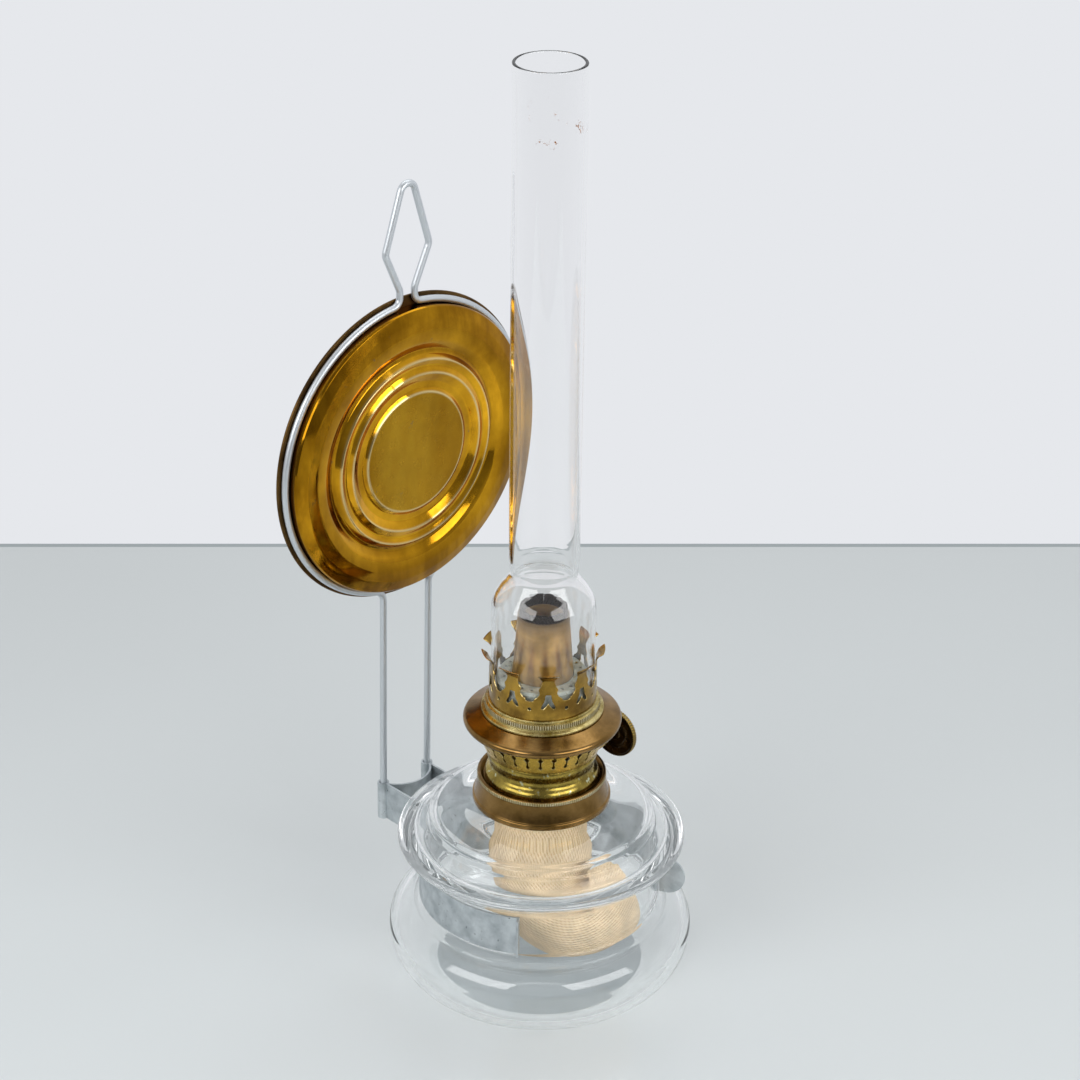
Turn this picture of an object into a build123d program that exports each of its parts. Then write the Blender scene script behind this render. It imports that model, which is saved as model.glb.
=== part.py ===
from build123d import *
import os
from math import atan2, cos, degrees, pi, radians, sin, sqrt

# Oil lamp: glass font, round-flame burner with a pierced crown, chimney, and a reflector on a wire frame.
# Millimetres. +Z is up, the origin is on the table under the font's axis, +Y points to the reflector.

# Clearances
SEAT_GAP = 0.3          # a loose piece above the seat it stands on
JOIN_GAP = 0.1          # pieces soldered, cemented or pressed together
SHAFT_GAP = 0.05        # radial, shaft in its bearings
THREAD_GAP = 0.35       # radial, burner base in the collar
SHEET = 0.5             # brass sheet of the burner
SOFT = 0.5              # small set-back where sheet is rolled or stamped

# Font
FONT_WALL = 3.4
FLOOR_RISE = 2.2
WAIST_RADIUS = 51.0
WAIST_LENGTH = 20.0
FOOT_INSET = 7.0
BULGE_REACH = 14.0
BULGE_LEVEL = 23.0
BULGE_OVER = 13.0
BULGE_TURN = 78.0       # degrees of the curve over the bulge
WAIST_ROOT = 2.0
BRIM_REACH = 10.0
BRIM_RISE = 9.4
BRIM_HALF = 2.8
BRIM_ROUND = 3.4
STEP_INSET = 3.6
STEP_RISE = 7.0
STEP_HEIGHT = 3.4
STEP_ROUND = 2.2
DOME_RISE = 5.0
DOME_SWELL = 0.9
DOME_LEDGE = 2.4
NECK_RADIUS = 25.8
NECK_WALL = 2.0
NECK_HEIGHT = 9.2

# Collar on the neck
COLLAR_SHEET = 0.8
COLLAR_FOOT_REACH = 3.4
COLLAR_BEAD_REACH = 1.4
COLLAR_HEIGHT = 12.4
COLLAR_ROLL = 2.2
COLLAR_BEAD = 2.2
COLLAR_WELL = 1.4
SLEEVE_SHEET = 0.55
SLEEVE_DEPTH = 6.5

# Burner
BURNER_CLOCK = 8.7      # degrees, the winder shaft from +X
FLANGE_REACH = 1.05
FLANGE_HEIGHT = 2.8
BASE_WAIST = 1.1
BASE_RING_REACH = 1.6
BASE_HEIGHT = 13.2
BASKET_LEDGE = 0.8
BASKET_HEIGHT = 11.2
BASKET_HOLES = 30
DIAMOND_HALF = 1.25
DIAMOND_TALL = 1.6
SMALL_DIAMOND_HALF = 0.95
SMALL_DIAMOND_TALL = 1.1
SLIT_WIDE = 0.6
DIAMOND_FROM_MIDDLE = 2.2
GALLERY_REACH = 7.55
GALLERY_ROLL = 1.95
GALLERY_RISE = 7.0
GALLERY_LIP = 4.55
SEAT_RING_LEDGE = 0.7
MILLED_STEP = 1.0
LOWER_STEP = 1.5
SEAT_RING_HEIGHT = 5.8
CROWN_BAND = 8.7
CROWN_HEIGHT = 22.4
CROWN_PRONGS = 9
CROWN_FIRST_PRONG = -128.0
CROWN_FLARE = 3.3
CROWN_CURL = 4.0
CROWN_HOLE_RADIUS = 0.75
AIR_CUP_GAP = 0.7
AIR_CUP_RISE = 10.9
AIR_HOLES = 24
AIR_HOLE_RADIUS = 0.7
TUBE_RISE = 38.3
TUBE_TAPER = 26.4
TUBE_TAPER_IN = 1.9
DRAUGHT_RADIUS = 8.45
DRAUGHT_SHEET = 0.45
DRAUGHT_START = 14.0
SEAM_WEB = 0.8

# Wick
WICK_THICK = 1.15
WICK_GAP = 0.3
WICK_SEAM = 1.6         # gap left between the edges of the rolled wick
WICK_SHOWS = 3.1        # above the tube
WICK_FACE = -134.0      # degrees, the closed side of the rolled wick
WICK_ROLL_END = 3.0     # below the burner's floor
WICK_LAID_BORE = 47.6   # bore of the waist in which the tail's stations were laid out

# Winder
SHAFT_RADIUS = 1.5
SHAFT_RISE = 10.4
SHAFT_PAST_WHEEL = 6.5
KNOB_CLEAR = 1.3
KNOB_RADIUS = 10.95
KNOB_THICK = 2.2
RIVET_RADIUS = 2.4
RIVET_RISE = 1.4
WHEEL_RADIUS = 5.0
WHEEL_TOOTH = 1.0
WHEEL_TEETH = 14
WHEEL_THICK = 1.2
WHEEL_SPREAD = 3.5
WHEEL_GAP = 0.1
SLOT_CLEAR = 0.5
BUSH_WALL = 1.0
BUSH_LENGTH = 9.0
BRACKET_THICK = 1.0
BRACKET_WIDE = 2.0

# Chimney
CHIMNEY_WALL = 1.4
CHIMNEY_BULB_RADIUS = 21.5
CHIMNEY_TUBE_RADIUS = 14.44
CHIMNEY_NECK_DIP = 0.69
CHIMNEY_LENGTH = 271.6
BULB_LENGTH = 40.6
BULB_FALL = 15.5        # from the straight bulb up to the neck
NECK_RECOVER = 8.5      # from the neck up to the straight tube

# Strap round the waist
STRAP_SHEET = 0.9
STRAP_LOW_INSET = 1.2
STRAP_HIGH_INSET = 1.0
STRAP_LEFT_END = 216.0  # degrees
STRAP_RIGHT_END = -47.5
STRAP_BEND = 4.0
STRAP_LIP = 2.4
TAB_REACH = 1.9
TAB_TURN = -66.0
SOCKET_WALL = 0.85
SOCKET_GAP = 0.25
WEB_BOW = 9.6           # the web between the sockets bows towards the font

# Wire frame and reflector
WIRE_RADIUS = 1.5
WIRE_END_INSET = 1.4
FRAME_REACH = 36.7      # from the waist to the sockets
FRAME_LEAN = 1.2        # degrees forward
LEG_HALF = 12.9
LEG_BEND = 6.0
RING_RADIUS = 65.7
RING_RISE = 170.1
ROOT_HALF = 4.0
ROOT_BEND = 4.0
LOOP_HALF = 11.9
LOOP_NECK = 6.6         # heights above the ring
LOOP_WIDE = 24.1
LOOP_CORNER = 61.6      # where the loop's sides would meet
LOOP_BEND = 4.0
REFLECTOR_SHEET = 0.6
BACK_OVERHANG = 2.8
BACK_HEM = 2.0
DISH_LIP = 0.4
DISH_DEPTH = 4.4
CENTRE_RISE = 2.0

# Font places
foot_radius = WAIST_RADIUS - FOOT_INSET
bulge_radius = WAIST_RADIUS + BULGE_REACH
brim_radius = WAIST_RADIUS + BRIM_REACH
step_radius = WAIST_RADIUS - STEP_INSET
neck_bore = NECK_RADIUS - NECK_WALL
waist_low = BULGE_LEVEL + BULGE_OVER + WAIST_ROOT
waist_high = waist_low + WAIST_LENGTH
brim_level = waist_high + BRIM_RISE
step_low = brim_level + STEP_RISE
step_high = step_low + STEP_HEIGHT
dome_low = step_high + STEP_ROUND
neck_low = dome_low + DOME_RISE
neck_top = neck_low + NECK_HEIGHT

# Collar places
collar_foot = NECK_RADIUS + COLLAR_FOOT_REACH
collar_bead = NECK_RADIUS + COLLAR_BEAD_REACH
collar_low = neck_low + SEAT_GAP
collar_top = collar_low + COLLAR_HEIGHT
collar_seat = collar_top - COLLAR_WELL
collar_thread = neck_bore - SEAT_GAP - SLEEVE_SHEET

# Burner places
base_thread = collar_thread - THREAD_GAP
base_flange = collar_thread + FLANGE_REACH
base_neck = base_thread - BASE_WAIST
base_ring = base_neck + BASE_RING_REACH
crown_bore = CHIMNEY_BULB_RADIUS + SEAT_GAP + JOIN_GAP
seat_ring_radius = crown_bore + SHEET + SEAT_RING_LEDGE
milled_radius = seat_ring_radius + MILLED_STEP
lower_step_radius = milled_radius + LOWER_STEP
gallery_radius = lower_step_radius + GALLERY_REACH
gallery_bore = lower_step_radius - MILLED_STEP
basket_foot = base_ring + BASKET_LEDGE
basket_rim = gallery_radius - GALLERY_LIP
air_cup_radius = CHIMNEY_BULB_RADIUS - CHIMNEY_WALL - AIR_CUP_GAP
base_low = collar_seat + SEAT_GAP
base_top = base_low + BASE_HEIGHT
floor_low = base_low + FLANGE_HEIGHT - SHEET
basket_low = base_top + JOIN_GAP
basket_top = basket_low + BASKET_HEIGHT
gallery_low = basket_top + JOIN_GAP
gallery_top = gallery_low + GALLERY_RISE
seat_low = gallery_top + JOIN_GAP
seat_top = seat_low + SEAT_RING_HEIGHT
crown_low = seat_top + JOIN_GAP
crown_top = crown_low + CROWN_HEIGHT
air_cup_top = seat_top + AIR_CUP_RISE
chimney_low = seat_top + SEAT_GAP
chimney_top = chimney_low + CHIMNEY_LENGTH

# Wick and winder places
wick_radius = DRAUGHT_RADIUS + WICK_GAP + WICK_THICK / 2
wick_outer = wick_radius + WICK_THICK / 2
wick_width = 2 * pi * wick_radius - WICK_SEAM
tail_room = (WAIST_RADIUS - FONT_WALL - wick_radius) / (WICK_LAID_BORE - wick_radius)
tube_top_radius = wick_outer + WICK_GAP + SHEET
tube_foot_radius = tube_top_radius + TUBE_TAPER_IN
tube_top = seat_top + TUBE_RISE
tube_cone_foot = tube_top - TUBE_TAPER
wick_top = tube_top + WICK_SHOWS
shaft_height = base_low + SHAFT_RISE
shaft_offset = wick_outer + WHEEL_GAP + WHEEL_RADIUS
shaft_inner_end = WHEEL_SPREAD + SHAFT_PAST_WHEEL
shaft_bore = SHAFT_RADIUS + SHAFT_GAP
bush_radius = shaft_bore + BUSH_WALL
bush_reach = sqrt(base_neck**2 - shaft_offset**2) + BUSH_LENGTH / 2
knob_reach = basket_rim + KNOB_CLEAR + KNOB_THICK / 2

# Strap and frame places
strap_radius = WAIST_RADIUS + SEAT_GAP + STRAP_SHEET / 2
strap_low = waist_low + STRAP_LOW_INSET
strap_high = waist_high - STRAP_HIGH_INSET
strap_middle = (strap_low + strap_high) / 2
strap_height = strap_high - strap_low
wire_bore = WIRE_RADIUS + SOCKET_GAP
socket_radius = wire_bore + SOCKET_WALL
frame_y = WAIST_RADIUS + FRAME_REACH
ring_level = strap_middle + RING_RISE
wire_end = strap_low + WIRE_END_INSET
loop_root = ring_level + RING_RADIUS
dish_wall = RING_RADIUS - WIRE_RADIUS - SEAT_GAP
dish_radius = dish_wall + DISH_LIP
back_radius = RING_RADIUS + BACK_OVERHANG


def turned(outline):
    """Solid of revolution about Z from closed edges given as (radius, height)."""
    return revolve(Plane.XZ * make_face(outline), Axis.Z)


def turned_points(*points):
    """Solid of revolution about Z from the corners of its section."""
    return turned(Polyline(*points, close=True))


def tube(radius, sheet, low, high):
    """Upright tube of thin sheet, with its outside radius."""
    outside = Cylinder(radius, high - low)
    inside = Cylinder(radius - sheet, high - low)
    return Pos(0, 0, (low + high) / 2) * (outside - inside)


def around(count, shape, first=0.0):
    """Copies of a shape spread evenly about Z."""
    step = 360 / count
    return [Rot(0, 0, first + step * i) * shape for i in range(count)]


def both_sides(half):
    """Polygon from one half of its outline, which starts on the middle line, and its mirror image."""
    other = [(-x, z) for x, z in reversed(half[1:])]
    return Polygon(*half, *other, align=None)


def on_shaft(shape, reach):
    """Place a shape built along Z on the winder shaft, at a reach from the burner's axis."""
    return Pos(reach, -shaft_offset, shaft_height) * Rot(0, 90, 0) * shape


def clocked(shape):
    """Turn a burner piece to the way its winder points."""
    return Rot(0, 0, BURNER_CLOCK) * shape


def bend_onto_circle(circle, offset, bend):
    """Rise of the centre of a bend from a straight at -offset onto a circle about the origin."""
    return sqrt((circle + bend) ** 2 - (offset + bend) ** 2)


def bent_straight(circle, offset, bend, up):
    """Bend arc from the straight to the circle, and the angle where it touches the circle."""
    rise = up * bend_onto_circle(circle, offset, bend)
    centre = (-offset - bend, rise)
    sweep_angle = degrees(atan2(-rise, offset + bend))
    touch = degrees(atan2(rise, -offset - bend)) % 360
    return CenterArc(centre, bend, 0, sweep_angle), touch


def font_outside():
    """Outer side of the font from the middle of its foot to the top of its neck."""
    brim_root = brim_radius - BRIM_ROUND
    brim_low = brim_level - BRIM_HALF
    brim_high = brim_level + BRIM_HALF
    step_flat = step_radius - STEP_ROUND
    dome_end = NECK_RADIUS + DOME_LEDGE
    dome_middle = ((step_flat + dome_end) / 2, (dome_low + neck_low) / 2 + DOME_SWELL)
    step_corner = (step_radius - STEP_ROUND * 0.3, step_high + STEP_ROUND * 0.7)
    under = EllipticalCenterArc(
        (foot_radius, BULGE_LEVEL), bulge_radius - foot_radius, BULGE_LEVEL, -90, arc_size=90
    )
    over = EllipticalCenterArc((WAIST_RADIUS, BULGE_LEVEL), BULGE_REACH, BULGE_OVER, 0, arc_size=BULGE_TURN)
    return [
        Line((0, 0), (foot_radius, 0)),
        under,
        over,
        Polyline(over @ 1, (WAIST_RADIUS, waist_low), (WAIST_RADIUS, waist_high), (brim_root, brim_low)),
        ThreePointArc((brim_root, brim_low), (brim_radius, brim_level), (brim_root, brim_high)),
        Polyline((brim_root, brim_high), (step_radius + 2 * SOFT, step_low), (step_radius, step_high)),
        ThreePointArc((step_radius, step_high), step_corner, (step_flat, dome_low)),
        ThreePointArc((step_flat, dome_low), dome_middle, (dome_end, neck_low)),
        Line((dome_end, neck_low), (NECK_RADIUS, neck_low)),
        Polyline((NECK_RADIUS, neck_low), (NECK_RADIUS, neck_top), (neck_bore, neck_top)),
    ]


def font_inside():
    """Inner side of the font from the top of its neck to the middle of its floor."""
    wall = FONT_WALL
    waist_bore = WAIST_RADIUS - wall
    under_dome = (step_radius - STEP_ROUND - 2 * SOFT, dome_low - wall)
    under_step = (step_radius - wall / 2, step_low - wall)
    in_brim = (brim_radius - BRIM_ROUND - wall, brim_level)
    over = EllipticalCenterArc(
        (WAIST_RADIUS, BULGE_LEVEL), BULGE_REACH - wall, BULGE_OVER - wall, 0, arc_size=BULGE_TURN
    )
    under = EllipticalCenterArc(
        (foot_radius, BULGE_LEVEL), bulge_radius - foot_radius - wall, BULGE_LEVEL - wall, -90, arc_size=90
    )
    return [
        Polyline((neck_bore, neck_top), (neck_bore, neck_low - wall), under_dome, under_step, in_brim),
        Line(in_brim, (waist_bore, waist_high + 2 * SOFT)),
        Polyline((waist_bore, waist_high + 2 * SOFT), (waist_bore, waist_low - 2 * SOFT), over @ 1),
        over,
        under,
        Polyline((foot_radius, wall), (0, wall + FLOOR_RISE), (0, 0)),
    ]


def make_font():
    """Glass font: bulged foot, waist, brim, stepped shoulder and neck, hollow inside."""
    return turned(font_outside() + font_inside())


def make_cement():
    """Plaster between the font's neck and the collar's skirt."""
    bore = NECK_RADIUS + JOIN_GAP
    low = collar_low + SOFT
    skirt_low = collar_low + COLLAR_ROLL + 2 * SOFT
    behind_sheet = COLLAR_SHEET + SOFT + 2 * JOIN_GAP
    outer_low = collar_foot - behind_sheet
    outer_high = collar_bead - behind_sheet
    top = collar_top - COLLAR_BEAD - SEAT_GAP
    outer = [(outer_low, low), (outer_low, skirt_low), (outer_high, top)]
    return turned_points((bore, low), *outer, (bore, top))


def make_collar():
    """Collar: rolled foot, tapering skirt, bead, well, and the threaded sleeve."""
    sheet = COLLAR_SHEET
    foot = collar_foot
    bead = collar_bead
    roll_top = collar_low + COLLAR_ROLL
    skirt_top = collar_top - COLLAR_BEAD
    skirt_inside = bead - SOFT - sheet
    sleeve_low = collar_seat - SLEEVE_DEPTH
    sleeve_outer = collar_thread + SLEEVE_SHEET
    well = base_flange + SOFT
    return turned_points(
        (foot - sheet, collar_low),
        (foot, collar_low),
        (foot, roll_top),
        (foot - SOFT, roll_top + 2 * SOFT),
        (bead - SOFT, skirt_top),
        (bead, skirt_top + SOFT),
        (bead, collar_top - SOFT),
        (bead - SOFT, collar_top),
        (bead - SOFT - sheet, collar_top),
        (well, collar_seat),
        (collar_thread, collar_seat),
        (collar_thread, sleeve_low),
        (sleeve_outer, sleeve_low),
        (sleeve_outer, collar_seat - sheet),
        (well, collar_seat - sheet),
        (skirt_inside, skirt_top + SOFT),
        (skirt_inside, skirt_top),
        (foot - SOFT - sheet, roll_top + 2 * SOFT),
        (foot - sheet, roll_top),
    )


def make_strap():
    """Spring strap: one strip round the waist, back along two arms to the wire sockets, with its web."""
    arc, touch = bent_straight(strap_radius, LEG_HALF, STRAP_BEND, 1)
    arm_low = arc @ 0
    socket_front = frame_y - wire_bore
    left = [
        CenterArc((0, 0), strap_radius, STRAP_LEFT_END, touch - STRAP_LEFT_END),
        arc,
        Line(arm_low, (-LEG_HALF, socket_front)),
    ]
    right_touch = 180 - touch
    right = [
        CenterArc((0, 0), strap_radius, STRAP_RIGHT_END, right_touch - STRAP_RIGHT_END),
        mirror(arc, about=Plane.YZ),
        Line((LEG_HALF, arm_low.Y), (LEG_HALF, socket_front)),
    ]
    bowed_to = (0, frame_y - WEB_BOW)
    web = [ThreePointArc((-LEG_HALF, socket_front), bowed_to, (LEG_HALF, socket_front))]
    plan = trace(left + right + web, line_width=STRAP_SHEET)
    for side in (-1, 1):
        plan += Pos(side * LEG_HALF, frame_y) * Circle(socket_radius)
    for side in (-1, 1):
        plan -= Pos(side * LEG_HALF, frame_y) * Circle(wire_bore)
    band = Pos(0, 0, strap_low) * extrude(plan, strap_height)
    return band + make_lip() + make_tab()


def strap_end(angle):
    """Place at mid-height on the strap's middle line, at an angle about the font's axis."""
    return Pos(strap_radius * cos(radians(angle)), strap_radius * sin(radians(angle)), strap_middle)


def make_lip():
    """Narrow lip turned out at the strap's left end."""
    plate = Pos(STRAP_LIP / 2, 0, 0) * Box(STRAP_LIP + STRAP_SHEET, STRAP_SHEET, strap_height)
    return strap_end(STRAP_LEFT_END) * Rot(0, 0, STRAP_LEFT_END) * plate


def make_tab():
    """Rounded thumb tab turned out at the strap's right end."""
    half = strap_height / 2
    root = STRAP_SHEET / 2
    outline = Pos((TAB_REACH - root) / 2, 0) * Rectangle(TAB_REACH + root, strap_height)
    rounded = Pos(TAB_REACH, 0) * Circle(half)
    rounded -= Pos(TAB_REACH - half, 0) * Rectangle(strap_height, 2 * strap_height)
    plate = Pos(0, STRAP_SHEET / 2, 0) * Rot(90, 0, 0) * extrude(outline + rounded, STRAP_SHEET)
    return strap_end(STRAP_RIGHT_END) * Rot(0, 0, TAB_TURN) * plate


def leaned(shape):
    """Put a piece of the frame, built in the plane y = 0, at the sockets with the frame's lean."""
    return Pos(0, frame_y, strap_middle) * Rot(FRAME_LEAN, 0, 0) * Pos(0, 0, -strap_middle) * shape


def make_wire():
    """One bent wire: leg, half ring, hanging loop, half ring, leg."""
    leg_bend, leg_touch = bent_straight(RING_RADIUS, LEG_HALF, LEG_BEND, -1)
    root_bend, root_touch = bent_straight(RING_RADIUS, ROOT_HALF, ROOT_BEND, 1)
    ring = CenterArc((0, 0), RING_RADIUS, leg_touch, root_touch - leg_touch)
    about_ring = Pos(0, ring_level)
    leg_top = about_ring * leg_bend @ 0
    root_top = about_ring * root_bend @ 0
    left = [
        (-ROOT_HALF, root_top.Y),
        (-ROOT_HALF, loop_root + LOOP_NECK),
        (-LOOP_HALF, loop_root + LOOP_WIDE),
    ]
    right = [(-x, z) for x, z in reversed(left)]
    loop = FilletPolyline(*left, (0, loop_root + LOOP_CORNER), *right, radius=LOOP_BEND)
    half = Line((-LEG_HALF, wire_end), leg_top) + about_ring * (leg_bend + ring + root_bend)
    path = Plane.XZ * Wire((half + loop + mirror(half, about=Plane.YZ)).edges())
    foot = Pos(-LEG_HALF, 0, wire_end)
    return leaned(sweep(foot * Circle(WIRE_RADIUS), path=path))


def facing(shape):
    """Turn a reflector piece built along +Z to face forward at the ring's height."""
    return leaned(Pos(0, 0, ring_level) * Rot(90, 0, 0) * shape)


def dish_face():
    """Pressed face of the reflector from the edge inwards: share of its radius, height above the edge."""
    outer_band = [(0.918, 1.7), (0.84, 2.1), (0.762, 1.2)]
    valley = [(0.703, -0.2), (0.675, 0.3)]
    outer_crest = [(0.642, 2.6), (0.597, 1.5)]
    inner_crest = [(0.549, 2.8), (0.488, 1.1), (0.442, 1.2)]
    centre = [(0.415, CENTRE_RISE)]
    return outer_band + valley + outer_crest + inner_crest + centre


def make_dish():
    """Stamped reflector front: pan wall, swelling outer band, two raised rings, flat centre."""
    sheet = REFLECTOR_SHEET
    back = -WIRE_RADIUS
    face = [(dish_radius * share, DISH_DEPTH + rise) for share, rise in dish_face()]
    edge = [
        (dish_wall, back),
        (dish_wall, DISH_DEPTH - 2 * sheet),
        (dish_radius, DISH_DEPTH - sheet),
        (dish_radius - sheet, DISH_DEPTH + SEAT_GAP),
    ]
    centre = [(0, DISH_DEPTH + CENTRE_RISE), (0, DISH_DEPTH + CENTRE_RISE - sheet)]
    rear = [(radius - JOIN_GAP, depth - sheet) for radius, depth in reversed(face)]
    inner_wall = [(dish_wall - sheet, DISH_DEPTH - sheet), (dish_wall - sheet, back)]
    return facing(turned_points(*edge, *face, *centre, *rear, *inner_wall))


def make_back():
    """Reflector back: flat plate behind the wire, its edge hemmed backwards."""
    sheet = REFLECTOR_SHEET
    front = -WIRE_RADIUS - JOIN_GAP
    hem_inner = back_radius - BACK_HEM
    return facing(
        turned_points(
            (0, front - sheet),
            (hem_inner, front - sheet),
            (hem_inner + sheet / 2, front - 2 * sheet),
            (back_radius - sheet / 2, front - 2 * sheet),
            (back_radius, front - sheet),
            (back_radius - sheet / 2, front),
            (0, front),
        )
    )


def make_base():
    """Burner base: screw sleeve, flange on the collar's seat, concave neck and top ring."""
    low = base_low - SLEEVE_DEPTH
    flange_top = base_low + FLANGE_HEIGHT
    neck_length = BASE_HEIGHT - FLANGE_HEIGHT
    sleeve = [(base_thread, low), (base_thread, base_low)]
    flange = [
        (base_flange, base_low),
        (base_flange, base_low + FLANGE_HEIGHT / 2),
        (base_flange - SOFT, flange_top),
    ]
    neck = [
        (base_neck + SOFT, flange_top + neck_length * 0.13),
        (base_neck, flange_top + neck_length * 0.3),
        (base_neck + SOFT, flange_top + neck_length * 0.52),
    ]
    ring = [
        (base_ring, flange_top + neck_length * 0.71),
        (base_ring, flange_top + neck_length * 0.85),
        (base_ring - SEAT_GAP, flange_top + neck_length * 0.91),
        (basket_foot, base_top),
    ]
    inside = [(radius - SHEET, z) for radius, z in reversed(flange[2:] + neck + ring)]
    bore = [(base_thread - SHEET, base_low + 2 * SHEET), (base_thread - SHEET, low)]
    shell = turned_points(*sleeve, *flange, *neck, *ring, *inside, *bore)
    bush_hole = Cylinder(bush_radius + JOIN_GAP, 2 * BUSH_LENGTH)
    return clocked(shell - on_shaft(bush_hole, bush_reach))


def make_floor():
    """Floor of the burner base that carries the wick tube."""
    bore = tube_foot_radius + SEAT_GAP
    rim = base_neck - SHEET + SEAT_GAP
    return tube(rim, rim - bore, floor_low, floor_low + SHEET)


def diamond(half, tall):
    """Upright diamond about the origin."""
    return Polygon((-half, 0), (0, tall), (half, 0), (0, -tall), align=None)


def basket_hole():
    """Diamond, slit and smaller diamond, pierced through the basket wall on +X."""
    big = diamond(DIAMOND_HALF, DIAMOND_TALL)
    small = diamond(SMALL_DIAMOND_HALF, SMALL_DIAMOND_TALL)
    slit = Rectangle(SLIT_WIDE, 2 * DIAMOND_FROM_MIDDLE)
    outline = Pos(0, DIAMOND_FROM_MIDDLE) * big + slit + Pos(0, -DIAMOND_FROM_MIDDLE) * small
    wall_x = (basket_foot + basket_rim) / 2
    wall_z = (basket_low + basket_top) / 2
    reach = basket_rim - basket_foot
    through = Plane((wall_x, 0, wall_z), x_dir=(0, 1, 0), z_dir=(1, 0, 0))
    return extrude(through * outline, abs(reach) + SHEET, both=True)


def make_basket():
    """Pierced air basket, a flaring band between the base and the gallery."""
    shell = turned_points(
        (basket_foot - SHEET, basket_low),
        (basket_foot, basket_low),
        (basket_rim, basket_top),
        (basket_rim - SHEET, basket_top),
    )
    return clocked(shell - around(BASKET_HOLES, basket_hole()))


def make_gallery():
    """Rolled gallery ring: sloping top, round outer edge, lip over the basket."""
    roll_r = gallery_radius - GALLERY_ROLL
    roll_z = gallery_low + GALLERY_ROLL + SOFT
    lip = basket_rim - 2 * JOIN_GAP
    ledge = gallery_bore + 3 * SOFT
    edge = CenterArc((roll_r, roll_z), GALLERY_ROLL, -100, 180)
    outline = [
        edge,
        Polyline(
            edge @ 1,
            (ledge, gallery_top),
            (gallery_bore, gallery_top),
            (gallery_bore, gallery_top - SHEET),
            (ledge - 2 * JOIN_GAP, gallery_top - SHEET),
            (roll_r - 2 * SHEET, roll_z + 2 * SHEET),
            (roll_r - 3 * SHEET, gallery_low + 2 * SHEET),
            (lip, gallery_low + SHEET),
            (lip, gallery_low),
            edge @ 0,
        ),
    ]
    return turned(outline)


def make_seat_ring():
    """Stepped ring that carries the crown and the chimney."""
    bore = air_cup_radius + JOIN_GAP
    height = SEAT_RING_HEIGHT
    return turned_points(
        (bore, seat_low),
        (lower_step_radius, seat_low),
        (lower_step_radius, seat_low + height * 0.19),
        (milled_radius - JOIN_GAP, seat_low + height * 0.28),
        (milled_radius, seat_low + height * 0.41),
        (milled_radius, seat_low + height * 0.72),
        (seat_ring_radius - SEAT_GAP, seat_low + height * 0.81),
        (seat_ring_radius, seat_low + height * 0.86),
        (seat_ring_radius, seat_top),
        (bore, seat_top),
    )


def crown_outline(shares, low, high):
    """Outline of a cut in the crown from shares of the prongs' pitch and of the way from low to high."""
    pitch = 2 * pi * crown_bore / CROWN_PRONGS
    return both_sides([(pitch * across, low + (high - low) * up) for across, up in shares])


def crown_window():
    """Gap between two prongs, from the band out through the top: narrow foot, belly, tooth, wide neck, tip."""
    foot = [(0, 0), (0.1, 0.02), (0.125, 0.09)]
    belly = [(0.2, 0.15), (0.262, 0.25), (0.268, 0.33)]
    tooth = [(0.242, 0.39), (0.25, 0.44)]
    neck = [(0.305, 0.53), (0.335, 0.64), (0.335, 0.73)]
    tip = [(0.295, 0.83), (0.268, 0.93), (0.272, 1.1)]
    return crown_outline(foot + belly + tooth + neck + tip, CROWN_BAND, CROWN_HEIGHT)


def crown_arch():
    """Arched cut-out in a prong: pointed middle, two rounded feet, narrow top."""
    feet = [(0, 0.357), (0.059, 0.295), (0.137, 0.241), (0.196, 0.25), (0.177, 0.308)]
    top = [(0.105, 0.4), (0.072, 0.536)]
    return crown_outline(feet + top, 0, CROWN_HEIGHT)


def crown_hole():
    """Round hole in the band under each gap between the prongs."""
    return Pos(0, CROWN_BAND * 0.6) * RegularPolygon(CROWN_HOLE_RADIUS, 10)


def through_crown(outline, first):
    """Cutters through the crown's wall, one for each prong, from an outline above the crown's foot."""
    near_wall = crown_bore - CROWN_FLARE
    plane = Plane((near_wall, 0, crown_low), x_dir=(0, 1, 0), z_dir=(1, 0, 0))
    return around(CROWN_PRONGS, extrude(plane * outline, 3 * CROWN_FLARE), first)


def make_crown():
    """Pierced crown: band with round holes, waisted prongs with arched cut-outs, tips curled outwards."""
    bore = crown_bore
    outer = bore + SHEET
    curl_low = crown_top - CROWN_CURL
    curl_middle = crown_top - CROWN_CURL * 0.45
    part_flare = CROWN_FLARE * 0.35
    shell = turned_points(
        (bore, crown_low),
        (outer, crown_low),
        (outer, curl_low),
        (outer + part_flare, curl_middle),
        (outer + CROWN_FLARE, crown_top),
        (bore + CROWN_FLARE - JOIN_GAP, crown_top),
        (bore + part_flare, curl_middle + SEAT_GAP),
        (bore, curl_low + SEAT_GAP),
    )
    between = CROWN_FIRST_PRONG + 180 / CROWN_PRONGS
    shell -= through_crown(crown_window(), between)
    shell -= through_crown(crown_hole(), between)
    return shell - through_crown(crown_arch(), CROWN_FIRST_PRONG)


def make_air_cup():
    """Perforated cup round the wick tube that spreads the air under the flame."""
    radius = air_cup_radius
    bore = tube_foot_radius + SEAT_GAP
    top = air_cup_top
    corner = 2 * SHEET
    shell = turned_points(
        (radius - SHEET, seat_low),
        (radius, seat_low),
        (radius, top - corner),
        (radius - corner, top),
        (bore, top),
        (bore, top - SHEET),
        (radius - corner - JOIN_GAP, top - SHEET),
        (radius - SHEET, top - corner - JOIN_GAP),
    )
    hole_ring = (bore + radius) / 2
    hole = Pos(hole_ring, 0, top) * extrude(RegularPolygon(AIR_HOLE_RADIUS, 8), 2 * SHEET, both=True)
    return shell - around(AIR_HOLES, hole)


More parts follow.
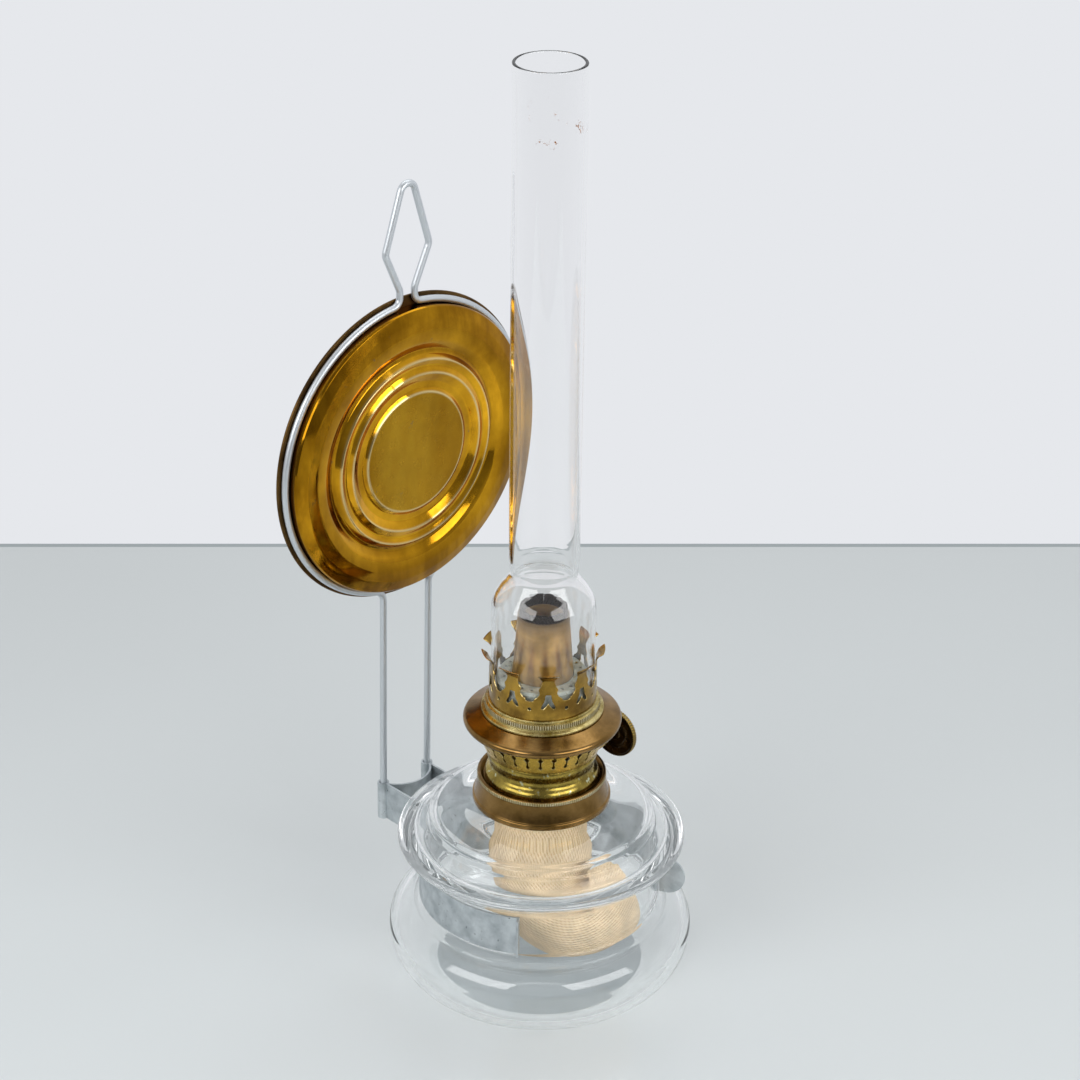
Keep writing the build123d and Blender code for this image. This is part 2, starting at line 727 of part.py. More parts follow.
def make_wick_tube():
    """Outer wick tube: straight below, tapering to the flame, with slots for the winder wheels."""
    foot = tube_foot_radius
    top = tube_top_radius
    shell = turned_points(
        (foot - SHEET, floor_low),
        (foot, floor_low),
        (foot, tube_cone_foot),
        (top, tube_top),
        (top - SHEET, tube_top),
        (foot - SHEET, tube_cone_foot),
    )
    slot_wide = WHEEL_THICK + 2 * SLOT_CLEAR
    slot_deep = 2 * (shaft_offset - tube_foot_radius + WHEEL_RADIUS)
    slot = Box(slot_wide, slot_deep, 2 * WHEEL_RADIUS + SLOT_CLEAR)
    for side in (-1, 1):
        shell -= Pos(side * WHEEL_SPREAD, -shaft_offset, shaft_height) * slot
    return clocked(shell)


def make_draught_tube():
    """Inner draught tube with the web that fills the seam between the wick's edges."""
    low = floor_low + DRAUGHT_START
    web_top = tube_cone_foot - 2 * SEAM_WEB
    inner = tube(DRAUGHT_RADIUS, DRAUGHT_SHEET, low, tube_top - SHEET)
    reach = tube_foot_radius - SHEET - JOIN_GAP
    start = DRAUGHT_RADIUS - DRAUGHT_SHEET / 2
    web = Box(reach - start, SEAM_WEB, web_top - low)
    placed_web = Pos((start + reach) / 2, 0, (low + web_top) / 2) * web
    return Rot(0, 0, WICK_FACE + 180) * (inner + placed_web)


def make_bush():
    """Bush in the burner base that the winder shaft turns in."""
    sleeve = Cylinder(bush_radius, BUSH_LENGTH) - Cylinder(shaft_bore, BUSH_LENGTH)
    return clocked(on_shaft(sleeve, bush_reach))


def make_bracket():
    """Inner bracket on the wick tube that holds the shaft's far end."""
    half = shaft_bore + BRACKET_WIDE
    reach = shaft_inner_end - BRACKET_THICK
    near_edge = reach - BRACKET_THICK / 2
    to_tube = shaft_offset - sqrt(tube_foot_radius**2 - near_edge**2) - JOIN_GAP
    plate = Pos(0, (to_tube - half) / 2, 0) * Box(2 * half, to_tube + half, BRACKET_THICK)
    return clocked(on_shaft(plate - Cylinder(shaft_bore, BRACKET_THICK), -reach))


def make_shaft():
    """Winder shaft."""
    length = shaft_inner_end + knob_reach - KNOB_THICK / 2 - JOIN_GAP
    return clocked(on_shaft(Cylinder(SHAFT_RADIUS, length), length / 2 - shaft_inner_end))


def make_wheels():
    """Toothed wheels on the shaft that grip the wick through the tube's slots."""
    step = 2 * pi / WHEEL_TEETH
    root = WHEEL_RADIUS - WHEEL_TOOTH
    points = []
    for i in range(WHEEL_TEETH):
        tip = (i + 0.5) * step
        points.append((root * cos(i * step), root * sin(i * step)))
        points.append((WHEEL_RADIUS * cos(tip), WHEEL_RADIUS * sin(tip)))
    disc = extrude(Polygon(*points, align=None), WHEEL_THICK / 2, both=True)
    disc -= Cylinder(shaft_bore, WHEEL_THICK)
    return clocked(on_shaft(disc, -WHEEL_SPREAD) + on_shaft(disc, WHEEL_SPREAD))


def make_knob():
    """Winder knob: stamped disc with a raised ring and a thick edge."""
    half = KNOB_THICK / 2
    hollow = half - SOFT
    radius = KNOB_RADIUS
    side = [
        (0, -half),
        (radius * 0.27, -half),
        (radius * 0.31, -hollow),
        (radius * 0.51, -hollow),
        (radius * 0.58, -half),
        (radius * 0.66, -hollow),
        (radius * 0.89, -hollow),
        (radius * 0.93, -half),
        (radius, -half),
    ]
    other_side = [(r, -z) for r, z in reversed(side)]
    return clocked(on_shaft(turned_points(*side, *other_side), knob_reach))


def make_rivet():
    """Domed rivet that closes the knob on its shaft."""
    radius = RIVET_RADIUS
    rise = RIVET_RISE
    outer = knob_reach + KNOB_THICK / 2 + JOIN_GAP
    side = [(radius, 0), (radius * 0.9, rise / 2), (radius / 2, rise * 0.85)]
    dome = turned_points((0, 0), *side, (0, rise))
    return clocked(on_shaft(dome, outer))


def ribbon_section(middle, along, face, radius):
    """Curved cross-section of the wick ribbon, square to its run, convex towards its face."""
    half_turn = wick_width / (2 * radius)
    plane = Plane(middle - face * radius, x_dir=face, z_dir=along)
    outer = radius + WICK_THICK / 2
    inner = radius - WICK_THICK / 2
    across = cos(half_turn)
    aside = sin(half_turn)
    edges = [
        ThreePointArc((outer * across, -outer * aside), (outer, 0), (outer * across, outer * aside)),
        Line((outer * across, outer * aside), (inner * across, inner * aside)),
        ThreePointArc((inner * across, inner * aside), (inner, 0), (inner * across, -inner * aside)),
        Line((inner * across, -inner * aside), (outer * across, -outer * aside)),
    ]
    return plane * make_face(edges)


def level_way(angle):
    """Level direction at an angle about Z."""
    return Vector(cos(radians(angle)), sin(radians(angle)), 0)


def rolled_section(height):
    """Level cross-section of the rolled wick at a height."""
    face = level_way(WICK_FACE)
    return ribbon_section(face * wick_radius + Vector(0, 0, height), Vector(0, 0, -1), face, wick_radius)


def wick_stations():
    """Wick below its roll: way aside, way forward, drop and curl in roll radii, and facing in degrees."""
    opening = [
        (0, 1, 0, 1, 0),
        (0, 1.04, 0.54, 1.12, 0),
        (0, 1.23, 1.29, 1.55, 0),
        (0, 1.29, 2.36, 2.09, 0),
    ]
    turning_aside = [
        (0, 1.7, 3.4, 2.15, 0),
        (0, 2.35, 4.5, 2.15, 0),
        (0.3, 3.05, 5.4, 2.15, 6),
        (1.3, 3.6, 6.0, 2.2, 18),
    ]
    tail = [
        (2.4, 3.7, 6.15, 2.3, 33),
        (3.5, 3.15, 6.1, 2.4, 50),
        (4.35, 2.2, 5.9, 2.45, 66),
    ]
    return opening + turning_aside + tail


def bore_share(aside, forward):
    """Change of a station's level way with the font's bore: none at the roll, more the farther out it lies."""
    reach = sqrt(aside**2 + forward**2)
    return 1 + (tail_room - 1) * (1 - 1 / reach)


def free_sections(roll_low):
    """Cross-sections of the wick below its roll, square to its middle line."""
    unit = wick_radius
    ahead = level_way(WICK_FACE)
    beside = level_way(WICK_FACE + 90)
    foot = Vector(0, 0, roll_low)
    down = Vector(0, 0, -1)
    middles = []
    bends = []
    for aside, forward, drop, curl, facing in wick_stations():
        level = (beside * aside + ahead * forward) * bore_share(aside, forward)
        middles.append(foot + (level + down * drop) * unit)
        bends.append((curl * unit, level_way(WICK_FACE + facing)))
    befores = [middles[0]] + middles[:-1]
    afters = middles[1:] + [middles[-1]]
    sections = [rolled_section(roll_low)]
    for (curl, face), before, middle, after in list(zip(bends, befores, middles, afters))[1:]:
        along = (after - before).normalized()
        square_face = (face - along * face.dot(along)).normalized()
        sections.append(ribbon_section(middle, along, square_face, curl))
    return sections


def make_wick():
    """Cotton wick: rolled to a tube in the burner, opening below it, turned aside along the font's wall."""
    roll_low = floor_low - WICK_ROLL_END
    rolled = loft([rolled_section(wick_top), rolled_section(roll_low)])
    return rolled + loft(free_sections(roll_low))


def chimney_side(wall):
    """Side of the chimney, from the foot to the top, set in by a wall thickness."""
    bulb = CHIMNEY_BULB_RADIUS - wall
    straight = CHIMNEY_TUBE_RADIUS - wall
    neck = straight - CHIMNEY_NECK_DIP
    narrowing = bulb - neck
    bulb_high = chimney_low + BULB_LENGTH - wall * 0.4
    neck_level = chimney_low + BULB_LENGTH + BULB_FALL
    straight_low = neck_level + NECK_RECOVER
    shoulder = Spline(
        (bulb, bulb_high),
        (bulb - narrowing * 0.35 + wall * 0.2, bulb_high + BULB_FALL * 0.52 - wall * 0.4),
        (neck + narrowing * 0.27, neck_level - BULB_FALL * 0.22 - wall * 0.8),
        (neck, neck_level),
        (straight, straight_low),
        tangents=[(0, 1), (0, 1)],
    )
    foot = Line((bulb, chimney_low), (bulb, bulb_high))
    top = Line((straight, straight_low), (straight, chimney_top))
    return [foot, shoulder, top]


def make_chimney():
    """Glass chimney: bulb, constriction and straight tube, open at both ends."""
    outside = chimney_side(0)
    inside = chimney_side(CHIMNEY_WALL)
    rims = [Line(outside[0] @ 0, inside[0] @ 0), Line(outside[-1] @ 1, inside[-1] @ 1)]
    return turned(outside + inside + rims)


PIECES = {
    "oil_font": make_font,
    "collar_cement": make_cement,
    "font_collar": make_collar,
    "font_strap": make_strap,
    "wire_frame": make_wire,
    "reflector_dish": make_dish,
    "reflector_back": make_back,
    "burner_base": make_base,
    "burner_floor": make_floor,
    "air_basket": make_basket,
    "gallery_ring": make_gallery,
    "seat_ring": make_seat_ring,
    "chimney_crown": make_crown,
    "air_cup": make_air_cup,
    "wick_tube": make_wick_tube,
    "draught_tube": make_draught_tube,
    "shaft_bush": make_bush,
    "shaft_bracket": make_bracket,
    "winder_shaft": make_shaft,
    "winder_wheels": make_wheels,
    "winder_knob": make_knob,
    "knob_rivet": make_rivet,
    "wick": make_wick,
    "chimney": make_chimney,
}

os.makedirs("parts", exist_ok=True)
for node, make in PIECES.items():
    export_step(make(), f"parts/{node}.step")
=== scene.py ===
"""Looks of an oil lamp: glass font and chimney, brass burner, and a reflector on a wire frame.

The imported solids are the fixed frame. Turned pieces are spun again with rounded corners, pierced and bent
ones are smoothed copies of their solids, and the wick is a woven sheet.
"""

import logging
import math
from dataclasses import dataclass
from enum import Enum
from functools import cached_property
from typing import Any, Iterable, Sequence

import bmesh
import bpy
from mathutils import Matrix, Vector, noise


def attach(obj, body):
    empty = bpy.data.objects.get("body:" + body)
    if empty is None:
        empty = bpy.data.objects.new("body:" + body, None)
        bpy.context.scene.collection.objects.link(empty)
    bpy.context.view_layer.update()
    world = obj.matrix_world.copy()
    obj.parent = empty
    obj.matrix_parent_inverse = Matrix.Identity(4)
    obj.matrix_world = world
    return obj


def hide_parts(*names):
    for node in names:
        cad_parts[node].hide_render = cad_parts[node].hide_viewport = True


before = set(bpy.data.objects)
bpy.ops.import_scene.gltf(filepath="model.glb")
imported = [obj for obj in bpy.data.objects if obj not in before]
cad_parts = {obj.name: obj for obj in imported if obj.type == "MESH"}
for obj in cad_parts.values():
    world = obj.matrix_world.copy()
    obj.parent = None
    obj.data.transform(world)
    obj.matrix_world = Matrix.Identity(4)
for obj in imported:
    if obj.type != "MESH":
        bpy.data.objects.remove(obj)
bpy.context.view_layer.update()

MM = 0.001
FULL_TURN = 2.0 * math.pi
LOG = logging.getLogger("oil_lamp")

# A corner of a section is its radius, height and rounding, in millimetres.
Point = tuple[float, float]
Corner = tuple[float, float, float]
Socket = bpy.types.NodeSocket
Piece = bpy.types.Object

# Most that a rounding takes of a side, and the distances at which spun and copied points are joined.
SIDE_SHARE = 0.48
SEAM_MM = 0.004
WELD_MM = 0.002


class Body(str, Enum):
    """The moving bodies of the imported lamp."""

    FONT = "font"
    SCREW = "burner_screw"
    BURNER = "burner"
    WINDER = "winder"
    WICK = "wick"
    CHIMNEY = "chimney"


def linear(hex_colour: str) -> tuple[float, float, float, float]:
    """Turn an sRGB hex colour to linear values.

    Args:
        hex_colour: colour such as "#b5821c".

    Returns:
        Red, green, blue and an alpha of 1.
    """
    parts = [int(hex_colour[i : i + 2], 16) / 255.0 for i in (1, 3, 5)]
    red, green, blue = [p / 12.92 if p <= 0.04045 else ((p + 0.055) / 1.055) ** 2.4 for p in parts]
    return red, green, blue, 1.0


def per_mm(size: float) -> float:
    """Scale of a texture whose features are a size in millimetres apart."""
    return 1.0 / (size * MM)


class Nodes:
    """Node tree of a material or of the world, with short ways to add to it."""

    def __init__(self, tree: bpy.types.NodeTree) -> None:
        """Take over a tree, and empty it."""
        self.tree = tree
        tree.nodes.clear()

    def feed(self, node: bpy.types.Node, inputs: dict[Any, Any]) -> None:
        """Set a node's inputs, or link them.

        Args:
            node: the node.
            inputs: input name or number to a value, or to the output socket that feeds it.
        """
        for key, value in inputs.items():
            if isinstance(value, Socket):
                self.tree.links.new(value, node.inputs[key])
            else:
                node.inputs[key].default_value = value

    def add(self, kind: str, inputs: dict[Any, Any] | None = None, **settings: Any) -> bpy.types.Node:
        """Add a node with its settings, values and links.

        Args:
            kind: the node's type name, without its common first part.
            inputs: what its inputs are set to or fed with.
            settings: the node's own properties.

        Returns:
            The new node.
        """
        node = self.tree.nodes.new("ShaderNode" + kind)
        for key, value in settings.items():
            setattr(node, key, value)
        self.feed(node, inputs or {})
        return node

    def ramp(self, source: Socket, stops: Iterable[tuple[float, Any]]) -> Socket:
        """Add a colour ramp over a value.

        Args:
            source: value that drives it.
            stops: place from 0 to 1, and a hex colour or a grey level.

        Returns:
            The ramp's colour.
        """
        node = self.add("ValToRGB", {"Fac": source})
        elements = node.color_ramp.elements
        stops = list(stops)
        while len(elements) < len(stops):
            elements.new(1.0)
        for element, (place, colour) in zip(elements, stops):
            element.position = place
            element.color = linear(colour) if isinstance(colour, str) else (colour, colour, colour, 1.0)
        return node.outputs["Color"]

    def mixed(self, share: Any, first: Any, second: Any, blend: str = "MIX") -> Socket:
        """Mix two colours.

        Args:
            share: share of the second colour, a value or a socket.
            first: hex colour or socket.
            second: hex colour or socket.
            blend: how the colours are put together.

        Returns:
            The mixed colour.
        """
        first, second = [linear(c) if isinstance(c, str) else c for c in (first, second)]
        inputs = {0: share, 6: first, 7: second}
        return self.add("Mix", inputs, data_type="RGBA", blend_type=blend).outputs[2]

    def between(self, source: Socket, span: Point, onto: Point = (0.0, 1.0)) -> Socket:
        """Carry a value from one span onto another, and hold it at its ends."""
        ends = dict(zip(("From Min", "From Max", "To Min", "To Max"), (*span, *onto)))
        return self.add("MapRange", {"Value": source, **ends}).outputs["Result"]

    def maths(self, operation: str, *values: Any, clamp: bool = False) -> Socket:
        """Work out an operation on values or sockets, held from 0 to 1 if clamped."""
        inputs = dict(enumerate(values))
        return self.add("Math", inputs, operation=operation, use_clamp=clamp).outputs["Value"]

    def vector_maths(self, operation: str, *values: Any, output: str = "Vector") -> Socket:
        """Work out an operation on vectors or sockets."""
        return self.add("VectorMath", dict(enumerate(values)), operation=operation).outputs[output]


class Surface(Nodes):
    """Node tree of a material, with its shader."""

    def __init__(self, material: bpy.types.Material) -> None:
        """Give a material its shader.

        Args:
            material: the new material.
        """
        material.use_nodes = True
        super().__init__(material.node_tree)
        self.shader = self.add("BsdfPrincipled")
        self.add("OutputMaterial", {"Surface": self.shader.outputs["BSDF"]})

    @cached_property
    def place(self) -> Socket:
        """Place on the piece, in metres of the shared frame."""
        return self.add("TexCoord").outputs["Object"]

    @cached_property
    def height(self) -> Socket:
        """Height on the piece, in metres of the shared frame."""
        return self.add("SeparateXYZ", {"Vector": self.place}).outputs["Z"]

    def set(self, **values: Any) -> None:
        """Set or feed the shader's inputs, named with a low line for each space."""
        self.feed(self.shader, {name.replace("_", " "): value for name, value in values.items()})

    def clouds(
        self, size_mm: float, detail: float, broken: float = 0.5, place: Socket | None = None
    ) -> Socket:
        """Add cloudy noise.

        Args:
            size_mm: size of the clouds in millimetres.
            detail: how many finer layers they have.
            broken: strength of each finer layer.
            place: where the noise is read, if not on the piece.

        Returns:
            Noise from 0 to 1.
        """
        inputs = {"Scale": per_mm(size_mm), "Detail": detail, "Roughness": broken}
        where = self.place if place is None else place
        return self.add("TexNoise", {"Vector": where, **inputs}).outputs["Fac"]

    def moved(self, place: Socket, **change: Any) -> Socket:
        """Turn or stretch a place before a pattern is read there."""
        return self.add("Mapping", {"Vector": place, **change}).outputs["Vector"]

    def press(self, height: Socket, depth_mm: float, strength: float) -> None:
        """Bump the surface by a height from 0 to 1, to a depth in millimetres."""
        inputs = {"Height": height, "Distance": depth_mm * MM, "Strength": strength}
        self.set(Normal=self.add("Bump", inputs).outputs["Normal"])


@dataclass(frozen=True)
class Finish:
    """A surface finish: what the material is, and the name of a slot, which is not used."""

    name: str
    slot: str

    def material(self) -> bpy.types.Material:
        """Give the finish as a material, made once.

        Returns:
            The material.
        """
        made = bpy.data.materials.get(self.name)
        if made is None:
            made = bpy.data.materials.new(self.name)
            self.paint(Surface(made))
        return made

    def paint(self, surface: Surface) -> None:
        """Set the shader's values and patterns; each kind of finish has its own."""
        raise NotImplementedError


@dataclass(frozen=True)
class Glass(Finish):
    """Soda-lime glass: clear and glossy, with the slow waves of pressing or blowing."""

    tint: str = "#f7faf9"
    refraction: float = 1.52
    wave_mm: float = 22.0
    wave_depth_mm: float = 0.04
    speck: str = "#8a5a38"
    speck_from_mm: float = 0.0
    speck_to_mm: float = 0.0
    speck_mm: float = 1.4
    speck_patch_mm: float = 16.0
    speck_edge: Point = (0.3, 0.33)
    speck_clear: float = 0.25

    def paint(self, surface: Surface) -> None:
        """Paint clear glass, and burnt specks between two heights where these are given.

        Args:
            surface: the material's nodes.
        """
        surface.set(IOR=self.refraction, Roughness=0.0, Transmission_Weight=1.0)
        surface.set(Base_Color=linear(self.tint))
        surface.press(surface.clouds(self.wave_mm, detail=1.0), self.wave_depth_mm, strength=1.0)
        if self.speck_to_mm > self.speck_from_mm:
            self.paint_specks(surface)

    def paint_specks(self, surface: Surface) -> None:
        """Paint small burnt specks that stop the light, thickest half way between the two heights.

        Args:
            surface: the material's nodes.
        """
        low = self.speck_from_mm * MM
        high = self.speck_to_mm * MM
        middle = (low + high) / 2
        above = surface.between(surface.height, (low, middle))
        below = surface.between(surface.height, (high, middle))
        grain = surface.clouds(self.speck_mm, detail=3.0)
        patch = surface.clouds(self.speck_patch_mm, detail=1.0)
        shown = surface.maths("MULTIPLY", grain, patch)
        shown = surface.maths("MULTIPLY", shown, surface.maths("MULTIPLY", above, below))
        speck = surface.ramp(shown, zip(self.speck_edge, (0.0, 1.0)))
        clear = surface.ramp(shown, zip(self.speck_edge, (1.0, self.speck_clear)))
        surface.set(Base_Color=surface.mixed(speck, self.tint, self.speck), Transmission_Weight=clear)


@dataclass(frozen=True)
class AgedBrass(Finish):
    """Sheet brass that was polished once: warm metal under brown patina, with grey spots and fine wear."""

    bright: str = "#b5903a"
    dark: str = "#7a5a22"
    spot: str = "#5b5348"
    blotch_mm: float = 14.0
    blotch_span: Point = (0.36, 0.66)
    spot_mm: float = 2.6
    spot_share: float = 0.66
    spot_blur: float = 0.05
    broken: float = 0.6
    rough_low: float = 0.22
    rough_high: float = 0.42
    rough_span: Point = (0.3, 0.75)
    metal: float = 1.0
    dent_mm: float = 0.02
    dent_strength: float = 0.6

    def paint(self, surface: Surface) -> None:
        """Paint patina in slow blotches and spots, then the wear of this kind of brass.

        Args:
            surface: the material's nodes.
        """
        surface.set(Metallic=self.metal)
        blotch = surface.clouds(self.blotch_mm, 6.0, self.broken)
        fine = surface.clouds(self.spot_mm, 4.0, self.broken)
        body = surface.ramp(blotch, zip(self.blotch_span, (self.bright, self.dark)))
        spots = surface.ramp(fine, [(self.spot_share, 0.0), (self.spot_share + self.spot_blur, 1.0)])
        rough = surface.between(fine, self.rough_span, (self.rough_low, self.rough_high))
        surface.press(fine, self.dent_mm, self.dent_strength)
        self.weather(surface, surface.mixed(spots, body, self.spot), rough)

    def weather(self, surface: Surface, colour: Socket, rough: Socket) -> None:
        """Feed colour and roughness; kinds of brass with wear of their own change them first."""
        surface.set(Base_Color=colour, Roughness=rough)


@dataclass(frozen=True)
class SootedBrass(AgedBrass):
    """Brass beside the flame: bare metal below, black and matt with soot above."""

    soot: str = "#15110e"
    soot_from_mm: float = 166.0
    soot_to_mm: float = 173.5
    bare_span: Point = (0.1, 0.9)

    def weather(self, surface: Surface, colour: Socket, rough: Socket) -> None:
        """Lay on soot that thickens with the height.

        Args:
            surface: the material's nodes.
            colour: colour of the patina.
            rough: its roughness.
        """
        sooty = surface.between(surface.height, (self.soot_from_mm * MM, self.soot_to_mm * MM))
        surface.set(Metallic=surface.ramp(sooty, zip(self.bare_span, (1.0, 0.0))))
        super().weather(surface, surface.mixed(sooty, colour, self.soot), rough)


@dataclass(frozen=True)
class StampedBrass(AgedBrass):
    """Reflector brass: bright where the cloth reaches, brown in the valley, satin in the middle, with a
    painted highlight along each crest.

    Shares are of the reflector's radius, from its middle.
    """

    tarnish: str = "#7e540a"
    tarnish_stops: tuple[Point, ...] = ((0.65, 0.0), (0.69, 0.9), (0.75, 0.3), (0.84, 0.85), (0.97, 1.0))
    satin: str = "#b48e2a"
    satin_brown: str = "#916812"
    satin_share: float = 0.415
    satin_blur: float = 0.012
    satin_depth: float = 0.7
    satin_rough: float = 0.22
    # Painted highlight: pale lines along the crests of the stamped rings, at these shares, with this half
    # width and strength.
    crest_highlight: str = "#e6d8a6"
    crests: tuple[float, ...] = (0.415, 0.549, 0.642)
    crest_half: float = 0.011
    crest_depth: float = 0.75
    middle_mm: float = 218.2
    rim_mm: float = 64.3
    streak_mm: float = 15.0
    streak_long: float = 0.3
    streak_span: Point = (0.34, 0.62)
    streak_depth: Point = (0.3, 1.0)
    cloth_mm: float = 22.5
    cloth_span: Point = (0.36, 0.62)

    def crest_highlight_stops(self) -> list[Point]:
        """List the stops of the painted highlight: pale lines along the crests, where thin rounded crests
        catch the light.

        Returns:
            Places and depths of a ramp.
        """
        half = self.crest_half
        stops = []
        for crest in self.crests:
            stops += [(crest - half, 0.0), (crest, self.crest_depth), (crest + half, 0.0)]
        return stops

    def radius_share(self, surface: Surface) -> Socket:
        """Measure the distance from the reflector's middle, whatever the depth.

        Args:
            surface: the material's nodes.

        Returns:
            Share of the reflector's radius.
        """
        middle = (0.0, 0.0, self.middle_mm * MM)
        centred = surface.vector_maths("SUBTRACT", surface.place, middle)
        upright = surface.vector_maths("MULTIPLY", centred, (1.0, 0.0, 1.0))
        radius = surface.vector_maths("LENGTH", upright, output="Value")
        return surface.between(radius, (0.0, self.rim_mm * MM))

    def weather(self, surface: Surface, colour: Socket, rough: Socket) -> None:
        """Tarnish and satin zones by their distance from the middle, broken up by long streaks, and paint
        pale highlight lines on the crests.

        Args:
            surface: the material's nodes.
            colour: colour of the patina.
            rough: its roughness.
        """
        share = self.radius_share(surface)
        long = surface.moved(surface.place, Scale=(1.0, 1.0, self.streak_long))
        thin = surface.clouds(self.streak_mm, 5.0, self.broken, long)
        wide = surface.clouds(self.cloth_mm, 4.0, self.broken, long)
        streaks = surface.between(thin, self.streak_span, self.streak_depth)
        brown = surface.maths("MULTIPLY", surface.ramp(share, self.tarnish_stops), streaks)
        edge = (self.satin_share - self.satin_blur, self.satin_share + self.satin_blur)
        dull = surface.ramp(share, zip(edge, (self.satin_depth, 0.0)))
        cloth = surface.between(wide, self.cloth_span)
        middle_tone = surface.mixed(cloth, self.satin_brown, self.satin)
        colour = surface.mixed(dull, surface.mixed(brown, colour, self.tarnish), middle_tone)
        # Painted highlight along the crests.
        colour = surface.mixed(surface.ramp(share, self.crest_highlight_stops()), colour, self.crest_highlight)
        super().weather(surface, colour, surface.maths("MULTIPLY_ADD", dull, self.satin_rough, rough))


@dataclass(frozen=True)
class Galvanised(Finish):
    """Zinc-dipped steel: blue-grey and dull, with a faint spangle and dark specks where it is rubbed."""

    light: str = "#a9b4bb"
    dark: str = "#76828a"
    speck: str = "#3a3f43"
    metal: float = 0.75
    spangle_mm: float = 7.0
    spangle_share: float = 0.1
    cloud_share: float = 1.6
    cloud_span: Point = (0.36, 0.74)
    speck_mm: float = 1.6
    speck_share: float = 0.68
    speck_blur: float = 0.06
    rough: float = 0.45
    rough_span: Point = (0.3, 0.7)
    rough_change: Point = (-0.1, 0.12)
    grain_mm: float = 0.05
    grain_strength: float = 0.7

    def paint(self, surface: Surface) -> None:
        """Paint a spangle of crystal cells, clouds of dull zinc, and dark specks.

        Args:
            surface: the material's nodes.
        """
        surface.set(Metallic=self.metal)
        cells = surface.add("TexVoronoi", {"Vector": surface.place, "Scale": per_mm(self.spangle_mm)})
        grey = surface.add("SeparateColor", {"Color": cells.outputs["Color"]}).outputs["Red"]
        cloud = surface.clouds(self.spangle_mm * self.cloud_share, detail=6.0)
        spangled = surface.maths("MULTIPLY_ADD", grey, self.spangle_share, cloud)
        body = surface.ramp(spangled, zip(self.cloud_span, (self.light, self.dark)))
        fine = surface.clouds(self.speck_mm, detail=4.0)
        specks = surface.ramp(fine, [(self.speck_share, 0.0), (self.speck_share + self.speck_blur, 1.0)])
        smooth, rough = [self.rough + change for change in self.rough_change]
        surface.press(fine, self.grain_mm, self.grain_strength)
        surface.set(Base_Color=surface.mixed(specks, body, self.speck))
        surface.set(Roughness=surface.between(cloud, self.rough_span, (smooth, rough)))


@dataclass(frozen=True)
class WovenCotton(Finish):
    """Unbleached cotton wick in a close twill: cream and matt, brown where it was hot, charred on top."""

    cream: str = "#f1dab6"
    shade: str = "#d3b184"
    heat_stops: tuple[tuple[float, str], ...] = (
        (0.0, "#171311"),
        (0.1, "#3a2c24"),
        (0.3, "#94705a"),
        (1.0, "#ffffff"),
    )
    heat_mm: float = 14.0
    ragged_mm: float = 5.0
    ragged_reach_mm: float = 9.0
    rough: float = 0.95
    gloss: float = 0.1
    rib_mm: float = 1.2
    rib_turn: float = 62.0
    rib_wander: float = 0.3
    thread_mm: float = 0.9
    thread_wander: float = 0.8
    thread_share: float = 0.35
    weave_mm: float = 0.35
    weave_span: Point = (0.05, 0.55)
    weave_strength: float = 0.9
    stain_mm: float = 9.0
    stain_stops: tuple[Point, ...] = ((0.35, 1.0), (0.75, 0.72))

    def threads(self, surface: Surface, place: Socket, apart_mm: float, wander: float, way: str) -> Socket:
        """Lay parallel threads across the cloth.

        Args:
            surface: the material's nodes.
            place: place on the cloth.
            apart_mm: distance between threads in millimetres.
            wander: how far they wander.
            way: direction in which they are counted.

        Returns:
            Height from 0 to 1.
        """
        # Bands of the wave pattern lie about 1 / pi of its unit apart.
        inputs = {"Vector": place, "Scale": per_mm(apart_mm) / math.pi, "Distortion": wander, "Detail": 1.0}
        return surface.add("TexWave", inputs, bands_direction=way).outputs["Fac"]

    def heat(self, surface: Surface, cloth: Socket) -> Socket:
        """Tint by the heat: char along the ragged top edge, brown below it, none farther down.

        Args:
            surface: the material's nodes.
            cloth: place on the cloth.

        Returns:
            Colour to multiply with.
        """
        length = surface.add("SeparateXYZ", {"Vector": cloth}).outputs["Y"]
        ragged = surface.clouds(self.ragged_mm, detail=4.0, place=cloth)
        down = surface.maths("MULTIPLY_ADD", ragged, -self.ragged_reach_mm * MM, length)
        return surface.ramp(surface.between(down, (0.0, self.heat_mm * MM)), self.heat_stops)

    def paint(self, surface: Surface) -> None:
        """Paint a twill on the sheet's own UV map, whose unit is a metre of cloth, from the top edge down.

        Args:
            surface: the material's nodes.
        """
        surface.set(Roughness=self.rough, Specular_IOR_Level=self.gloss)
        cloth = surface.add("UVMap", uv_map="cloth").outputs["UV"]
        turned = surface.moved(cloth, Rotation=(0.0, 0.0, math.radians(self.rib_turn)))
        ribs = self.threads(surface, turned, self.rib_mm, self.rib_wander, "Y")
        threads = self.threads(surface, cloth, self.thread_mm, self.thread_wander, "X")
        weave = surface.maths("MULTIPLY_ADD", threads, self.thread_share, ribs)
        body = surface.ramp(weave, zip(self.weave_span, (self.shade, self.cream)))
        stain = surface.ramp(surface.clouds(self.stain_mm, detail=2.0, place=cloth), self.stain_stops)
        body = surface.mixed(1.0, body, stain, "MULTIPLY")
        surface.press(weave, self.weave_mm, self.weave_strength)
        surface.set(Base_Color=surface.mixed(1.0, body, self.heat(surface, cloth), "MULTIPLY"))


@dataclass(frozen=True)
class Plaster(Finish):
    """Lamp plaster: chalky, off-white and matt, with small pores."""

    body: str = "#cfc4ae"
    pore: str = "#a89a80"
    rough: float = 0.95
    pore_mm: float = 1.2
    pore_depth_mm: float = 0.2
    pore_strength: float = 0.7

    def paint(self, surface: Surface) -> None:
        """Paint matt plaster with fine pores.

        Args:
            surface: the material's nodes.
        """
        pores = surface.clouds(self.pore_mm, detail=5.0)
        surface.press(pores, self.pore_depth_mm, self.pore_strength)
        surface.set(Roughness=self.rough, Base_Color=surface.mixed(pores, self.body, self.pore))


